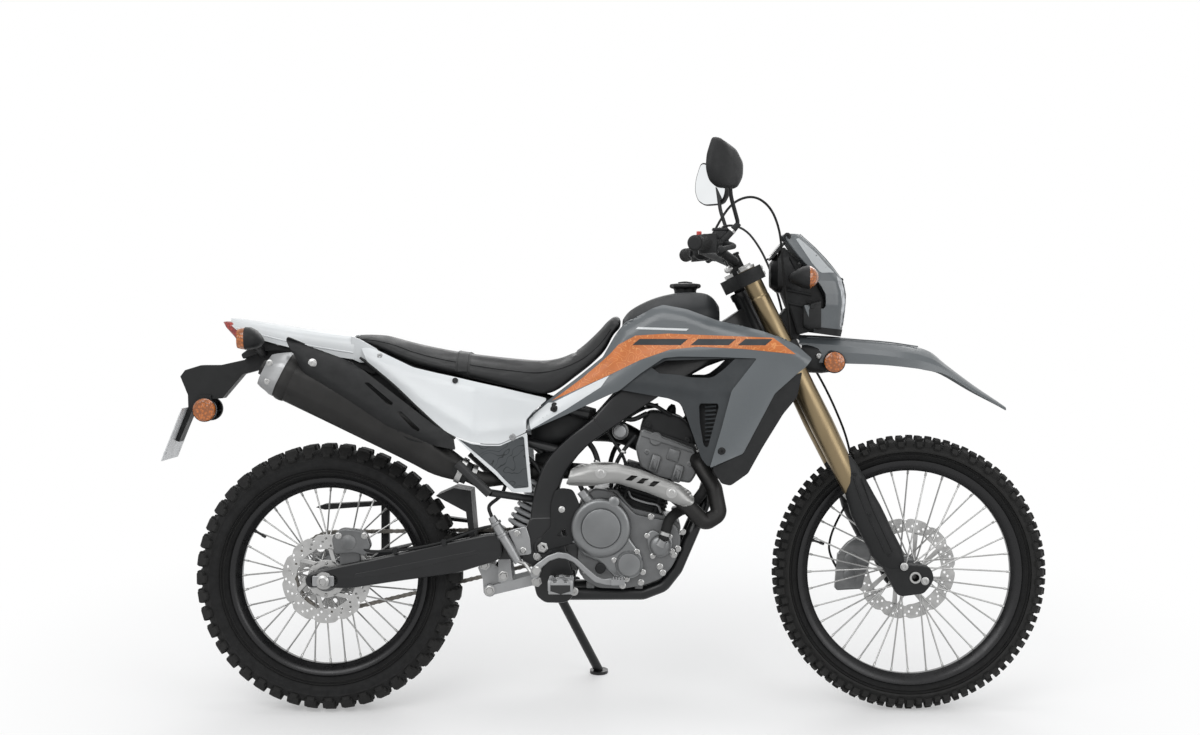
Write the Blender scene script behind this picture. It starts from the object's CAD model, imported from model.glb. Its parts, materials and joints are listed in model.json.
import bpy
import bmesh
import json
import math
import random
from mathutils import Matrix, Vector


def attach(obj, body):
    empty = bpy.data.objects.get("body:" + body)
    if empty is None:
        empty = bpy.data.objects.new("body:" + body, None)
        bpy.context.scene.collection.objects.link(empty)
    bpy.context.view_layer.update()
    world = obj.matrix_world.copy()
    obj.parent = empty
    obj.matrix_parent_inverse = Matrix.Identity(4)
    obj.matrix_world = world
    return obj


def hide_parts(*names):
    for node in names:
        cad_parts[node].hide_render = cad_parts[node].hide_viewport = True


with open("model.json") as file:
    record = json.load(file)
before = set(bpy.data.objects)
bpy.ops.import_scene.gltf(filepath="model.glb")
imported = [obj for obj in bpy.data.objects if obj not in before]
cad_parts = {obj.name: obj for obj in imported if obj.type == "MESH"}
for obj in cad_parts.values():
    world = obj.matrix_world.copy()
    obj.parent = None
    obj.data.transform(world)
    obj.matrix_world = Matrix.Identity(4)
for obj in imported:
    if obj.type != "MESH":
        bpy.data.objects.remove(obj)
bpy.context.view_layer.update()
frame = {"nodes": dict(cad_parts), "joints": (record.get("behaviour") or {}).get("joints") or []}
cad = frame["nodes"]
joints = {joint["name"]: joint for joint in frame["joints"]}

# Sizes are in millimetres on the upright motorcycle: +X forward, +Y to the rider's left, +Z up.
LEAN = math.radians(9.0)
FRONT_AXLE = Vector((779.0, 0.0, 344.2))
REAR_AXLE = Vector((-676.0, 0.0, 334.9))
RAKE = math.radians(26.0)
LEG_SPREAD = 100.0
TO_RIGHT, TO_LEFT = (0, -1, 0), (0, 1, 0)

upright = Matrix.Rotation(-LEAN, 4, "X") @ Matrix.Scale(0.001, 4)
foot = Vector(joints["front_wheel_spin"]["pos_m"]) - upright @ FRONT_AXLE
PARKED = Matrix.Translation(foot) @ upright


# ---------------------------------------------------------------- camera, floor and light
# the picture's width, the focal length and the shifts of its middle, all in dots
PICTURE_WIDE = 1200.0
FOCUS = 1985.0
SHIFT_ACROSS, SHIFT_UP = -33.0, -42.5
SENSOR_WIDE = 36.0
EYE_HEIGHT, EYE_ALONG, EYE_AWAY = 965.0, 85.5, 5000.0
SKY_COLOUR, SKY_STRENGTH = (0.86, 0.88, 0.9, 1), 0.42
FLOOR_REACH = 14.0
FLOOR_SHADE = 0.93
# metres from the middle between which the floor goes from its shadowed share to plain white
FADE_FROM, FADE_TO, FADE_SHARE = 0.75, 1.9, 0.35
# lamps: name, place, the spot it is turned to, size, watts
LAMPS = (("key", (-1.6, -3.2, 3.4), (0, -0.1, 0.6), (3.0, 2.2), 74),
         ("fill", (2.6, -2.8, 2.2), (0.1, -0.1, 0.6), (2.4, 2.0), 36),
         ("top", (0.1, 0.3, 3.6), (0, 0, 0.5), (3.4, 2.0), 44),
         ("back", (0.4, 3.2, 2.2), (0, 0, 0.7), (3.0, 2.0), 40))


def place_camera():
    data = bpy.data.cameras.new("camera")
    data.sensor_width = SENSOR_WIDE
    data.lens = SENSOR_WIDE * FOCUS / PICTURE_WIDE
    data.shift_x = SHIFT_ACROSS / PICTURE_WIDE
    data.shift_y = SHIFT_UP / PICTURE_WIDE
    camera = bpy.data.objects.new("camera", data)
    bpy.context.scene.collection.objects.link(camera)
    eye = PARKED @ Vector((EYE_ALONG, -EYE_AWAY, EYE_HEIGHT))
    aim = (PARKED @ Vector((EYE_ALONG, 0.0, EYE_HEIGHT)) - eye).normalized()
    camera.matrix_world = Matrix.Translation(eye) @ aim.to_track_quat("-Z", "Y").to_matrix().to_4x4()
    data.clip_end = 60.0
    bpy.context.scene.camera = camera


def area_lamp(name, spot, aim, size, power):
    data = bpy.data.lights.new(name, "AREA")
    data.shape = "RECTANGLE"
    data.size, data.size_y = size
    data.energy = power
    lamp = bpy.data.objects.new(name, data)
    bpy.context.scene.collection.objects.link(lamp)
    lamp.location = spot
    lamp.rotation_euler = (Vector(aim) - Vector(spot)).to_track_quat("-Z", "Y").to_euler()


def arithmetic(tree, operation, first, second):
    """A sum on two values, each a number or a socket."""
    node = tree.nodes.new("ShaderNodeMath")
    node.operation = operation
    for socket, value in zip(node.inputs, (first, second)):
        if isinstance(value, float):
            socket.default_value = value
        else:
            tree.links.new(value, socket)
    return node.outputs[0]


def white_when_seen(tree, shader, output, share=1.0):
    """Shows a shader as plain white to camera, mirror-like and see-through rays, in a share of 0 to 1."""
    nodes, links = tree.nodes, tree.links
    path = nodes.new("ShaderNodeLightPath")
    seen = path.outputs["Is Camera Ray"]
    for ray in ("Is Glossy Ray", "Is Transmission Ray"):
        seen = arithmetic(tree, "MAXIMUM", seen, path.outputs[ray])
    seen = arithmetic(tree, "MULTIPLY", seen, share)
    white = nodes.new("ShaderNodeEmission")
    white.inputs["Color"].default_value = (1, 1, 1, 1)
    white.inputs["Strength"].default_value = 1.0
    mix = nodes.new("ShaderNodeMixShader")
    links.new(seen, mix.inputs[0])
    links.new(shader.outputs[0], mix.inputs[1])
    links.new(white.outputs[0], mix.inputs[2])
    links.new(mix.outputs[0], output.inputs[0])


def build_studio():
    scene = bpy.context.scene
    scene.view_settings.view_transform = "Standard"
    world = bpy.data.worlds.new("studio")
    scene.world = world
    world.use_nodes = True
    tree = world.node_tree
    sky = tree.nodes["Background"]
    sky.inputs["Color"].default_value = SKY_COLOUR
    sky.inputs["Strength"].default_value = SKY_STRENGTH
    white_when_seen(tree, sky, tree.nodes["World Output"])
    for lamp in LAMPS:
        area_lamp(*lamp)
    build_floor(scene)


def build_floor(scene):
    """Pale floor that keeps the shadow near the motorcycle and fades into the white background."""
    mesh = bpy.data.meshes.new("floor")
    corners = [(x * FLOOR_REACH, y * FLOOR_REACH, 0) for x, y in ((-1, -1), (1, -1), (1, 1), (-1, 1))]
    mesh.from_pydata(corners, [], [(0, 1, 2, 3)])
    floor = bpy.data.objects.new("floor", mesh)
    scene.collection.objects.link(floor)
    paint = bpy.data.materials.new("floor_paint")
    paint.use_nodes = True
    tree = paint.node_tree
    base = tree.nodes["Principled BSDF"]
    base.inputs["Base Color"].default_value = (FLOOR_SHADE, FLOOR_SHADE, FLOOR_SHADE, 1)
    base.inputs["Roughness"].default_value = 0.7
    place = tree.nodes.new("ShaderNodeTexCoord")
    away = tree.nodes.new("ShaderNodeVectorMath")
    away.operation = "LENGTH"
    tree.links.new(place.outputs["Object"], away.inputs[0])
    fade = tree.nodes.new("ShaderNodeMapRange")
    fade.interpolation_type = "SMOOTHSTEP"
    for name, number in (("From Min", FADE_FROM), ("From Max", FADE_TO), ("To Min", FADE_SHARE)):
        fade.inputs[name].default_value = number
    tree.links.new(away.outputs["Value"], fade.inputs["Value"])
    white_when_seen(tree, base, tree.nodes["Material Output"], fade.outputs["Result"])
    mesh.materials.append(paint)


place_camera()
build_studio()


# ---------------------------------------------------------------- finishes


def upright_coordinates(tree, centre=(0, 0, 0), stretch=(1, 1, 1)):
    """Object coordinates turned upright about a point, in metres, stretched per axis."""
    coordinates = tree.nodes.new("ShaderNodeTexCoord")
    turn = tree.nodes.new("ShaderNodeMapping")
    turn.vector_type = "TEXTURE"
    turn.inputs["Location"].default_value = PARKED @ Vector(centre)
    turn.inputs["Rotation"].default_value = (-LEAN, 0, 0)
    tree.links.new(coordinates.outputs["Object"], turn.inputs["Vector"])
    scale = tree.nodes.new("ShaderNodeMapping")
    scale.inputs["Scale"].default_value = stretch
    tree.links.new(turn.outputs[0], scale.inputs["Vector"])
    return scale.outputs[0]


def noise(tree, where, scale, detail=3.0, rough=0.5):
    texture = tree.nodes.new("ShaderNodeTexNoise")
    texture.inputs["Scale"].default_value = scale
    texture.inputs["Detail"].default_value = detail
    texture.inputs["Roughness"].default_value = rough
    tree.links.new(where, texture.inputs["Vector"])
    return texture.outputs[0]


def spread(tree, value, low, high, start=0.3, end=0.7):
    """Maps a texture's middle range to low..high."""
    node = tree.nodes.new("ShaderNodeMapRange")
    tree.links.new(value, node.inputs["Value"])
    for name, number in zip(("From Min", "From Max", "To Min", "To Max"), (start, end, low, high)):
        node.inputs[name].default_value = number
    return node.outputs[0]


def blend_colour(tree, amount, first, second):
    """Mixes two colours, each a colour or a socket, by a socket."""
    node = tree.nodes.new("ShaderNodeMix")
    node.data_type = "RGBA"
    tree.links.new(amount, node.inputs["Factor"])
    for socket, colour in ((node.inputs["A"], first), (node.inputs["B"], second)):
        if isinstance(colour, tuple):
            socket.default_value = (*colour, 1)
        else:
            tree.links.new(colour, socket)
    return node.outputs["Result"]


def raise_surface(tree, height, distance, strength=1.0, under=None):
    """Bump from a height socket; distance in metres."""
    node = tree.nodes.new("ShaderNodeBump")
    node.inputs["Distance"].default_value = distance
    node.inputs["Strength"].default_value = strength
    tree.links.new(height, node.inputs["Height"])
    if under is not None:
        tree.links.new(under, node.inputs["Normal"])
    return node.outputs[0]


def new_skin(name, **values):
    """A material, its nodes and its surface shader, with some of the shader's inputs set."""
    material = bpy.data.materials.new(name)
    material.use_nodes = True
    tree = material.node_tree
    skin = tree.nodes["Principled BSDF"]
    for socket, value in values.items():
        skin.inputs[socket.replace("_", " ")].default_value = value
    return material, tree, skin


def finish(name, colour, rough=0.5, metal=0.0, grain=900.0, depth=0.00006, shade=0.2, cloud=14.0,
           stretch=(1, 1, 1), centre=(0, 0, 0), wear=0.0, worn=(0.5, 0.5, 0.5), coat=0.0,
           rough_spread=0.08, pattern=None):
    """A surface with cloudy colour, fine grain, uneven gloss and, where asked, worn edges."""
    gloss = 0.5 if metal or sum(colour) > 0.3 else 0.28
    material, tree, skin = new_skin(name, Metallic=metal, Coat_Weight=coat, Specular_IOR_Level=gloss,
                                    Coat_Roughness=0.12)
    where = upright_coordinates(tree, centre, stretch)
    clouds = noise(tree, where, cloud, 4.0)
    fine = noise(tree, where, grain, 2.0)
    dark = tuple(c * (1 - shade) for c in colour)
    light = tuple(min(c * (1 + shade * 0.6), 1.0) for c in colour)
    paint = blend_colour(tree, spread(tree, clouds, 0, 1), dark, light)
    if pattern:
        paint = pattern(tree, where, paint)
    if wear > 0:
        geometry = tree.nodes.new("ShaderNodeNewGeometry")
        edge = spread(tree, geometry.outputs["Pointiness"], 0, wear, 0.52, 0.6)
        paint = blend_colour(tree, edge, paint, worn)
    tree.links.new(paint, skin.inputs["Base Color"])
    patchy = noise(tree, where, cloud * 3.3, 5.0, 0.6)
    tree.links.new(spread(tree, patchy, rough - rough_spread, rough + rough_spread), skin.inputs["Roughness"])
    tree.links.new(raise_surface(tree, fine, depth), skin.inputs["Normal"])
    return material


def contour_lines(line, step=9.0, scale=26.0):
    """Map-like contour lines over a base colour."""
    def draw(tree, where, paint):
        hills = noise(tree, where, scale, 1.5, 0.45)
        wrap = arithmetic(tree, "PINGPONG", arithmetic(tree, "MULTIPLY", hills, step), 0.5)
        return blend_colour(tree, spread(tree, wrap, 1, 0, 0.03, 0.09), paint, line)
    return draw


def lens(name, colour, rough=0.08, ribs=900.0, through=0.0):
    """Moulded lens: glossy colour over fine prisms."""
    material, tree, skin = new_skin(name, Roughness=rough, Coat_Weight=0.6, Coat_Roughness=0.04,
                                    Transmission_Weight=through)
    where = upright_coordinates(tree)
    cells = tree.nodes.new("ShaderNodeTexVoronoi")
    cells.inputs["Scale"].default_value = ribs / 6
    tree.links.new(where, cells.inputs["Vector"])
    shade = tuple(c * 0.45 for c in colour)
    tree.links.new(blend_colour(tree, spread(tree, cells.outputs[0], 0, 1, 0.1, 0.6), colour, shade),
                   skin.inputs["Base Color"])
    tree.links.new(raise_surface(tree, cells.outputs[0], 0.0009), skin.inputs["Normal"])
    return material


GREY_PAINT = finish("grey_bodywork", (0.092, 0.103, 0.11), 0.34, coat=0.25, grain=1500, depth=0.00002, shade=0.06,
                    cloud=5, rough_spread=0.04)
WHITE_PAINT = finish("white_bodywork", (0.66, 0.68, 0.69), 0.36, coat=0.2, grain=1500, depth=0.00002, shade=0.04,
                     cloud=5, rough_spread=0.04)
PALE_PAINT = finish("pale_panel", (0.42, 0.44, 0.45), 0.4, coat=0.2, shade=0.06)
ORANGE_STRIPE = finish("orange_stripe", (0.53, 0.15, 0.03), 0.42, shade=0.12, cloud=30,
                       pattern=contour_lines((0.66, 0.26, 0.08), 8.0, 34.0))
DARK_PANEL = finish("dark_panel", (0.034, 0.038, 0.041), 0.55, grain=1300, depth=0.00012, shade=0.1)
MAP_PANEL = finish("map_panel", (0.06, 0.066, 0.07), 0.52, grain=1300, depth=0.0001, shade=0.08,
                   pattern=contour_lines((0.018, 0.02, 0.021), 8.0, 22.0))
BLACK_PLASTIC = finish("black_plastic", (0.0085, 0.009, 0.0095), 0.52, grain=1400, depth=0.00014, shade=0.2)
SOFT_BLACK = finish("soft_black", (0.0105, 0.011, 0.0115), 0.62, grain=1100, depth=0.00016, shade=0.15)
TANK_PAINT = finish("tank_skin", (0.017, 0.0185, 0.02), 0.48, grain=1500, depth=0.0001, shade=0.12, cloud=6)
FRAME_PAINT = finish("frame_enamel", (0.0075, 0.008, 0.0088), 0.36, coat=0.15, grain=1100, depth=0.00008, shade=0.2,
                     wear=0.25, worn=(0.06, 0.06, 0.06))
TYRE_RUBBER = finish("tyre_rubber", (0.009, 0.0091, 0.0093), 0.78, grain=700, depth=0.0002, shade=0.3, cloud=30,
                     wear=0.3, worn=(0.035, 0.034, 0.032))
GRIP_RUBBER = finish("grip_rubber", (0.011, 0.011, 0.011), 0.74, grain=800, depth=0.0002)
RIM_BLACK = finish("rim_black", (0.012, 0.012, 0.013), 0.3, metal=0.4, grain=1600, depth=0.00002, shade=0.1)
SEAT_VINYL = finish("seat_vinyl", (0.011, 0.0115, 0.012), 0.5, grain=620, depth=0.0003, shade=0.12, cloud=8)
CAST_GREY = finish("cast_grey", (0.115, 0.118, 0.12), 0.46, metal=0.6, grain=520, depth=0.00022, shade=0.22,
                   cloud=22, wear=0.4, worn=(0.32, 0.32, 0.32))
COVER_GREY = finish("cover_grey", (0.17, 0.175, 0.178), 0.36, metal=0.75, grain=900, depth=0.0001, shade=0.15,
                    wear=0.35, worn=(0.4, 0.4, 0.4))
CAST_SILVER = finish("cast_silver", (0.3, 0.304, 0.308), 0.4, metal=0.75, grain=600, depth=0.00016, shade=0.18)
BRIGHT_STEEL = finish("bright_steel", (0.4, 0.4, 0.395), 0.34, metal=1.0, grain=900, depth=0.00004,
                      stretch=(1, 1, 1), shade=0.1)
DISC_STEEL = finish("disc_steel", (0.42, 0.42, 0.415), 0.34, metal=1.0, grain=500, depth=0.00005,
                    stretch=(1, 0.1, 1), shade=0.12, cloud=40)
SHIELD_STEEL = finish("shield_steel", (0.3, 0.3, 0.295), 0.44, metal=1.0, grain=420, depth=0.00008,
                      stretch=(0.12, 1, 1), shade=0.15)
BURNT_STEEL = finish("burnt_steel", (0.02, 0.0195, 0.019), 0.5, metal=0.6, grain=600, depth=0.0001, shade=0.3)
GOLD_TUBE = finish("gold_tube", (0.235, 0.182, 0.108), 0.34, metal=1.0, grain=700, depth=0.00004,
                   stretch=(1, 1, 0.08), shade=0.12)
CHAIN_STEEL = finish("chain_steel", (0.17, 0.16, 0.145), 0.36, metal=1.0, grain=800, depth=0.00006, shade=0.25,
                     cloud=60)
PLATE_METAL = finish("plate_metal", (0.6, 0.61, 0.62), 0.45, metal=0.3, shade=0.05)
AMBER_LENS = lens("amber_lens", (0.62, 0.17, 0.02))
RED_LENS = lens("red_lens", (0.5, 0.035, 0.02))
CLEAR_LENS = lens("clear_lens", (0.72, 0.75, 0.78), ribs=260.0)
MIRROR_GLASS = finish("mirror_glass", (0.85, 0.87, 0.88), 0.04, metal=1.0, grain=60, depth=0.00001, shade=0.02,
                      rough_spread=0.01)
RED_PLASTIC = finish("red_plastic", (0.42, 0.03, 0.02), 0.4, shade=0.1)
WHITE_LINE = finish("white_line", (0.72, 0.73, 0.74), 0.45, shade=0.03)
DARK_GLASS = finish("dark_glass", (0.012, 0.014, 0.016), 0.1, grain=300, depth=0.00001, shade=0.1, coat=0.6,
                    rough_spread=0.03)
CORE_FINS = finish("core_fins", (0.05, 0.052, 0.054), 0.45, metal=0.7, grain=900, depth=0.0009,
                   stretch=(0.3, 0.3, 1), shade=0.3)


# ---------------------------------------------------------------- making shapes
def quads(shape, rings, closed_round=True, closed_along=False, caps=True, paint=0):
    """Joins rings of points, each a list of the same length, into a skin."""
    made = [[shape.verts.new(p) for p in ring] for ring in rings]
    count = len(made[0])
    spans = len(made) if closed_along else len(made) - 1
    for i in range(spans):
        a, b = made[i], made[(i + 1) % len(made)]
        for k in range(count if closed_round else count - 1):
            n = (k + 1) % count
            shape.faces.new((a[k], a[n], b[n], b[k])).material_index = paint
    if caps and not closed_along:
        shape.faces.new(list(reversed(made[0]))).material_index = paint
        shape.faces.new(made[-1]).material_index = paint
    return made


def smooth_through(points, per_span=6, closed=False):
    """Points on a smooth curve through the given points."""
    ps = [Vector(p) for p in points]
    n = len(ps)
    out = []
    for i in range(n if closed else n - 1):
        p0 = ps[(i - 1) % n] if closed or i > 0 else ps[0] * 2 - ps[1]
        p1, p2 = ps[i], ps[(i + 1) % n]
        p3 = ps[(i + 2) % n] if closed or i + 2 < n else ps[-1] * 2 - ps[-2]
        for k in range(per_span):
            t = k / per_span
            out.append(0.5 * ((2 * p1) + (p2 - p0) * t + (2 * p0 - 5 * p1 + 4 * p2 - p3) * t * t
                              + (3 * p1 - p0 - 3 * p2 + p3) * t ** 3))
    if not closed:
        out.append(ps[-1])
    return out


def rounded(outline, radius, steps=4, closed=True):
    """Outline with its corners rounded by arcs that leave the edges at most half-way."""
    ps = [Vector(p) for p in outline]
    out = []
    for i, p in enumerate(ps):
        if not closed and i in (0, len(ps) - 1):
            out.append(p)
            continue
        a, b = ps[i - 1] - p, ps[(i + 1) % len(ps)] - p
        reach = min(radius, a.length * 0.48, b.length * 0.48)
        start, end = p + a.normalized() * reach, p + b.normalized() * reach
        for k in range(steps + 1):
            t = k / steps
            out.append(start * (1 - t) ** 2 + p * 2 * t * (1 - t) + end * t * t)
    return out


def pipe(shape, points, radius, sides=16, smooth=0, bend=0.0, paint=0, closed=False):
    """Round bar along points. radius is one number, or one per point."""
    path = [Vector(p) for p in points]
    radii = list(radius) if isinstance(radius, (list, tuple)) else [radius] * len(path)
    if bend:
        path = rounded(path, bend, 6, closed=False)
        radii = [radii[0]] * len(path)
    if smooth:
        span = len(path) if closed else len(path) - 1
        ends = radii + [radii[0]]
        radii = [ends[i] + (ends[i + 1] - ends[i]) * k / smooth for i in range(span) for k in range(smooth)]
        path = smooth_through(path, smooth, closed)
        radii += [ends[span]] * (len(path) - len(radii))
    rings = []
    side = None
    for i, p in enumerate(path):
        ahead = path[(i + 1) % len(path)] if closed or i + 1 < len(path) else p
        behind = path[i - 1] if closed or i > 0 else p
        run = (ahead - behind).normalized()
        if side is None:
            side = run.orthogonal().normalized()
        side = (side - run * side.dot(run)).normalized()
        up = run.cross(side)
        rings.append([p + (side * math.cos(2 * math.pi * k / sides) + up * math.sin(2 * math.pi * k / sides))
                      * radii[i] for k in range(sides)])
    quads(shape, rings, closed_along=closed, paint=paint)


def turned(shape, profile, centre, axis=TO_LEFT, sides=64, paint=0, closed=False):
    """Turned form from (radius, distance along the axis) points; the ends are capped."""
    axis = Vector(axis).normalized()
    across = axis.orthogonal().normalized()
    other = axis.cross(across)
    rings = [[Vector(centre) + axis * along + (across * math.cos(2 * math.pi * k / sides)
             + other * math.sin(2 * math.pi * k / sides)) * max(radius, 0.01) for k in range(sides)]
             for radius, along in profile]
    quads(shape, rings, closed_along=closed, paint=paint)


def as_made(thing):
    """New mesh of an object with its modifiers applied."""
    return bpy.data.meshes.new_from_object(thing.evaluated_get(bpy.context.evaluated_depsgraph_get()))


def filled(outlines, extrude=0.0, edge=0.0):
    """Mesh of a filled outline with holes, drawn as (x, y), with rounded edges where it has a thickness."""
    data = bpy.data.curves.new("outline", "CURVE")
    data.dimensions = "2D"
    data.fill_mode = "BOTH"
    if extrude:
        data.extrude = extrude
        data.bevel_depth = edge
        data.offset = -edge
        data.bevel_resolution = 1
    for outline in outlines:
        spline = data.splines.new("POLY")
        spline.points.add(len(outline) - 1)
        for point, (x, z) in zip(spline.points, outline):
            point.co = (x, z, 0, 1)
        spline.use_cyclic_u = True
    holder = bpy.data.objects.new("outline", data)
    bpy.context.scene.collection.objects.link(holder)
    bpy.context.view_layer.update()
    mesh = as_made(holder)
    bpy.data.objects.remove(holder)
    return mesh


def plate(shape, outlines, near, far, edge=1.0, paint=0):
    """Flat plate in the side view with rounded edges; the first outline is the rim, the others are holes."""
    mesh = filled(outlines, max(abs(far - near) / 2 - edge, 0.05), edge)
    middle = (near + far) / 2
    mesh.transform(Matrix(((1, 0, 0, 0), (0, 0, -1, middle), (0, 1, 0, 0), (0, 0, 0, 1))))
    for face in mesh.polygons:
        face.material_index = paint
    shape.from_mesh(mesh)
    bpy.data.meshes.remove(mesh)


def turns(count, share=0.0):
    """Angles that share out a full turn, the first a share of a step from zero."""
    return [2 * math.pi * (k + share) / count for k in range(count)]


def circle(x, z, radius, sides=32, start=0.0):
    return [(x + radius * math.cos(start + a), z + radius * math.sin(start + a)) for a in turns(sides)]


def rectangle(x0, z0, x1, z1):
    """Corners of a rectangle."""
    return [(x0, z0), (x1, z0), (x1, z1), (x0, z1)]


def squared_circle(steps, square):
    """Points on a circle of radius 1, drawn out towards a square."""
    return [tuple(math.copysign(abs(c) ** (2 / square), c) for c in (math.cos(a), math.sin(a)))
            for a in turns(steps)]


def between(table, x):
    """Row of numbers at x from a table of (x, numbers...), eased between its rows."""
    if x <= table[0][0]:
        return table[0][1:]
    for low, high in zip(table, table[1:]):
        if x <= high[0]:
            t = (x - low[0]) / (high[0] - low[0])
            return tuple(a + (b - a) * t for a, b in zip(low[1:], high[1:]))
    return table[-1][1:]


def flat_fill(outlines):
    """Flat filled outline with holes, in the side view."""
    mesh = filled(outlines)
    flat = bmesh.new()
    flat.from_mesh(mesh)
    bpy.data.meshes.remove(mesh)
    bmesh.ops.remove_doubles(flat, verts=flat.verts[:], dist=0.01)
    for v in flat.verts:
        v.co = (v.co.x, 0, v.co.y)
    return flat


def sheet_of(shape, outline, surface, thick, grid=9.0, paint=0, sides=(-1, 1), lift=0.0, holes=()):
    """Moulded panel over a side outline. surface(x, z) is its distance from the centre plane."""
    flat = flat_fill([outline] + list(holes))
    xs, zs = [p[0] for p in outline], [p[1] for p in outline]
    for axis, low, high in ((0, min(xs), max(xs)), (2, min(zs), max(zs))):
        normal = [0, 0, 0]
        normal[axis] = 1
        steps = int((high - low) / grid)
        for k in range(1, steps + 1):
            place = [0, 0, 0]
            place[axis] = low + (high - low) * k / (steps + 1)
            bmesh.ops.bisect_plane(flat, geom=flat.verts[:] + flat.edges[:] + flat.faces[:], dist=0.001,
                                   plane_co=place, plane_no=normal)
    bmesh.ops.recalc_face_normals(flat, faces=flat.faces[:])
    for face in flat.faces:
        face.normal_update()
    if flat.faces[:] and flat.faces[0].normal.y > 0:
        bmesh.ops.reverse_faces(flat, faces=flat.faces[:])
    mesh = bpy.data.meshes.new("panel")
    for side in sides:
        copy = flat.copy()
        for v in copy.verts:
            v.co.y = side * (surface(v.co.x, v.co.z) + lift)
        if side > 0:
            bmesh.ops.reverse_faces(copy, faces=copy.faces[:])
        copy.normal_update()
        outer = copy.faces[:]
        if thick > 0:
            borders = [e for e in copy.edges if e.is_boundary]
            inner = {v: copy.verts.new(v.co - v.normal * thick) for v in copy.verts[:]}
            for face in outer:
                copy.faces.new([inner[v] for v in reversed(face.verts)])
            for e in borders:
                face = e.link_faces[0]
                loop = next(l for l in face.loops if l.edge == e)
                a, b = loop.vert, loop.link_loop_next.vert
                copy.faces.new((b, a, inner[a], inner[b]))
        for face in copy.faces:
            face.material_index = paint
        copy.to_mesh(mesh)
        shape.from_mesh(mesh)
        copy.free()
    bpy.data.meshes.remove(mesh)
    flat.free()


def piece(name, shape, body, paints, stands_for=(), bevel=0.0, rounds=0, sharp=38.0, turn_out=True):
    """Turns a shape into a finished object that rides on a body."""
    if turn_out:
        bmesh.ops.recalc_face_normals(shape, faces=shape.faces[:])
    mesh = bpy.data.meshes.new(name)
    shape.to_mesh(mesh)
    shape.free()
    mesh.transform(PARKED)
    for paint in paints:
        mesh.materials.append(paint)
    mesh.polygons.foreach_set("use_smooth", [True] * len(mesh.polygons))
    mesh.set_sharp_from_angle(angle=math.radians(sharp))
    thing = bpy.data.objects.new(name, mesh)
    bpy.context.scene.collection.objects.link(thing)
    if bevel:
        edge = thing.modifiers.new("edges", "BEVEL")
        edge.width = bevel / 1000
        edge.segments = 2
        edge.limit_method = "ANGLE"
        edge.angle_limit = math.radians(40)
        edge.harden_normals = True
    if rounds:
        soft = thing.modifiers.new("roundness", "SUBSURF")
        soft.levels = rounds
        soft.render_levels = rounds
    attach(thing, body)
    if stands_for:
        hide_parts(*stands_for)
    return thing


def repeat_tree():
    """Geometry nodes that set one small piece on every point, turned and sized by the points' attributes."""
    tree = bpy.data.node_groups.new("repeat_piece", "GeometryNodeTree")
    face = tree.interface
    face.new_socket("Geometry", in_out="INPUT", socket_type="NodeSocketGeometry")
    face.new_socket("Piece", in_out="INPUT", socket_type="NodeSocketObject")
    size = face.new_socket("Size", in_out="INPUT", socket_type="NodeSocketFloat")
    size.default_value = 1.0
    face.new_socket("Finish", in_out="INPUT", socket_type="NodeSocketMaterial")
    face.new_socket("Geometry", in_out="OUTPUT", socket_type="NodeSocketGeometry")
    new = tree.nodes.new
    entry, leave = new("NodeGroupInput"), new("NodeGroupOutput")
    info, instance, real = new("GeometryNodeObjectInfo"), new("GeometryNodeInstanceOnPoints"), new(
        "GeometryNodeRealizeInstances")
    coat = new("GeometryNodeSetMaterial")
    turn, grow = new("GeometryNodeInputNamedAttribute"), new("GeometryNodeInputNamedAttribute")
    turn.data_type = grow.data_type = "FLOAT_VECTOR"
    turn.inputs["Name"].default_value = "turn"
    grow.inputs["Name"].default_value = "grow"
    scale = new("ShaderNodeVectorMath")
    scale.operation = "SCALE"
    link = tree.links.new
    link(entry.outputs["Geometry"], instance.inputs["Points"])
    link(entry.outputs["Piece"], info.inputs["Object"])
    link(info.outputs["Geometry"], instance.inputs["Instance"])
    link(turn.outputs["Attribute"], instance.inputs["Rotation"])
    link(grow.outputs["Attribute"], scale.inputs[0])
    link(entry.outputs["Size"], scale.inputs["Scale"])
    link(scale.outputs[0], instance.inputs["Scale"])
    link(instance.outputs[0], real.inputs[0])
    link(real.outputs[0], coat.inputs["Geometry"])
    link(entry.outputs["Finish"], coat.inputs["Material"])
    link(coat.outputs[0], leave.inputs[0])
    return tree


REPEAT = repeat_tree()


def repeated(shape, small, places, paint_index=0, size=1.0):
    """Adds copies of a small shape. places holds (point, rotation matrix, size per axis)."""
    patch = bpy.data.meshes.new("small_piece")
    small.to_mesh(patch)
    small.free()
    master = bpy.data.objects.new("small_piece", patch)
    bpy.context.scene.collection.objects.link(master)
    points = bpy.data.meshes.new("points")
    points.from_pydata([tuple(p) for p, _, _ in places], [], [])
    turn = points.attributes.new("turn", "FLOAT_VECTOR", "POINT")
    grow = points.attributes.new("grow", "FLOAT_VECTOR", "POINT")
    turn.data.foreach_set("vector", [c for _, m, _ in places for c in m.to_euler()])
    grow.data.foreach_set("vector", [c for _, _, s in places for c in s])
    holder = bpy.data.objects.new("points", points)
    bpy.context.scene.collection.objects.link(holder)
    modifier = holder.modifiers.new("repeat", "NODES")
    modifier.node_group = REPEAT
    named = {item.name: item.identifier for item in REPEAT.interface.items_tree if item.in_out == "INPUT"}
    modifier[named["Piece"]] = master
    modifier[named["Size"]] = size
    modifier[named["Finish"]] = BRIGHT_STEEL
    bpy.context.view_layer.update()
    mesh = as_made(holder)
    for face in mesh.polygons:
        face.material_index = paint_index
    shape.from_mesh(mesh)
    for thing in (holder, master):
        bpy.data.objects.remove(thing)
    bpy.data.meshes.remove(mesh)


def facing(direction):
    """Rotation that turns +Z to a direction."""
    return Vector(direction).to_track_quat("Z", "Y").to_matrix()


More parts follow.
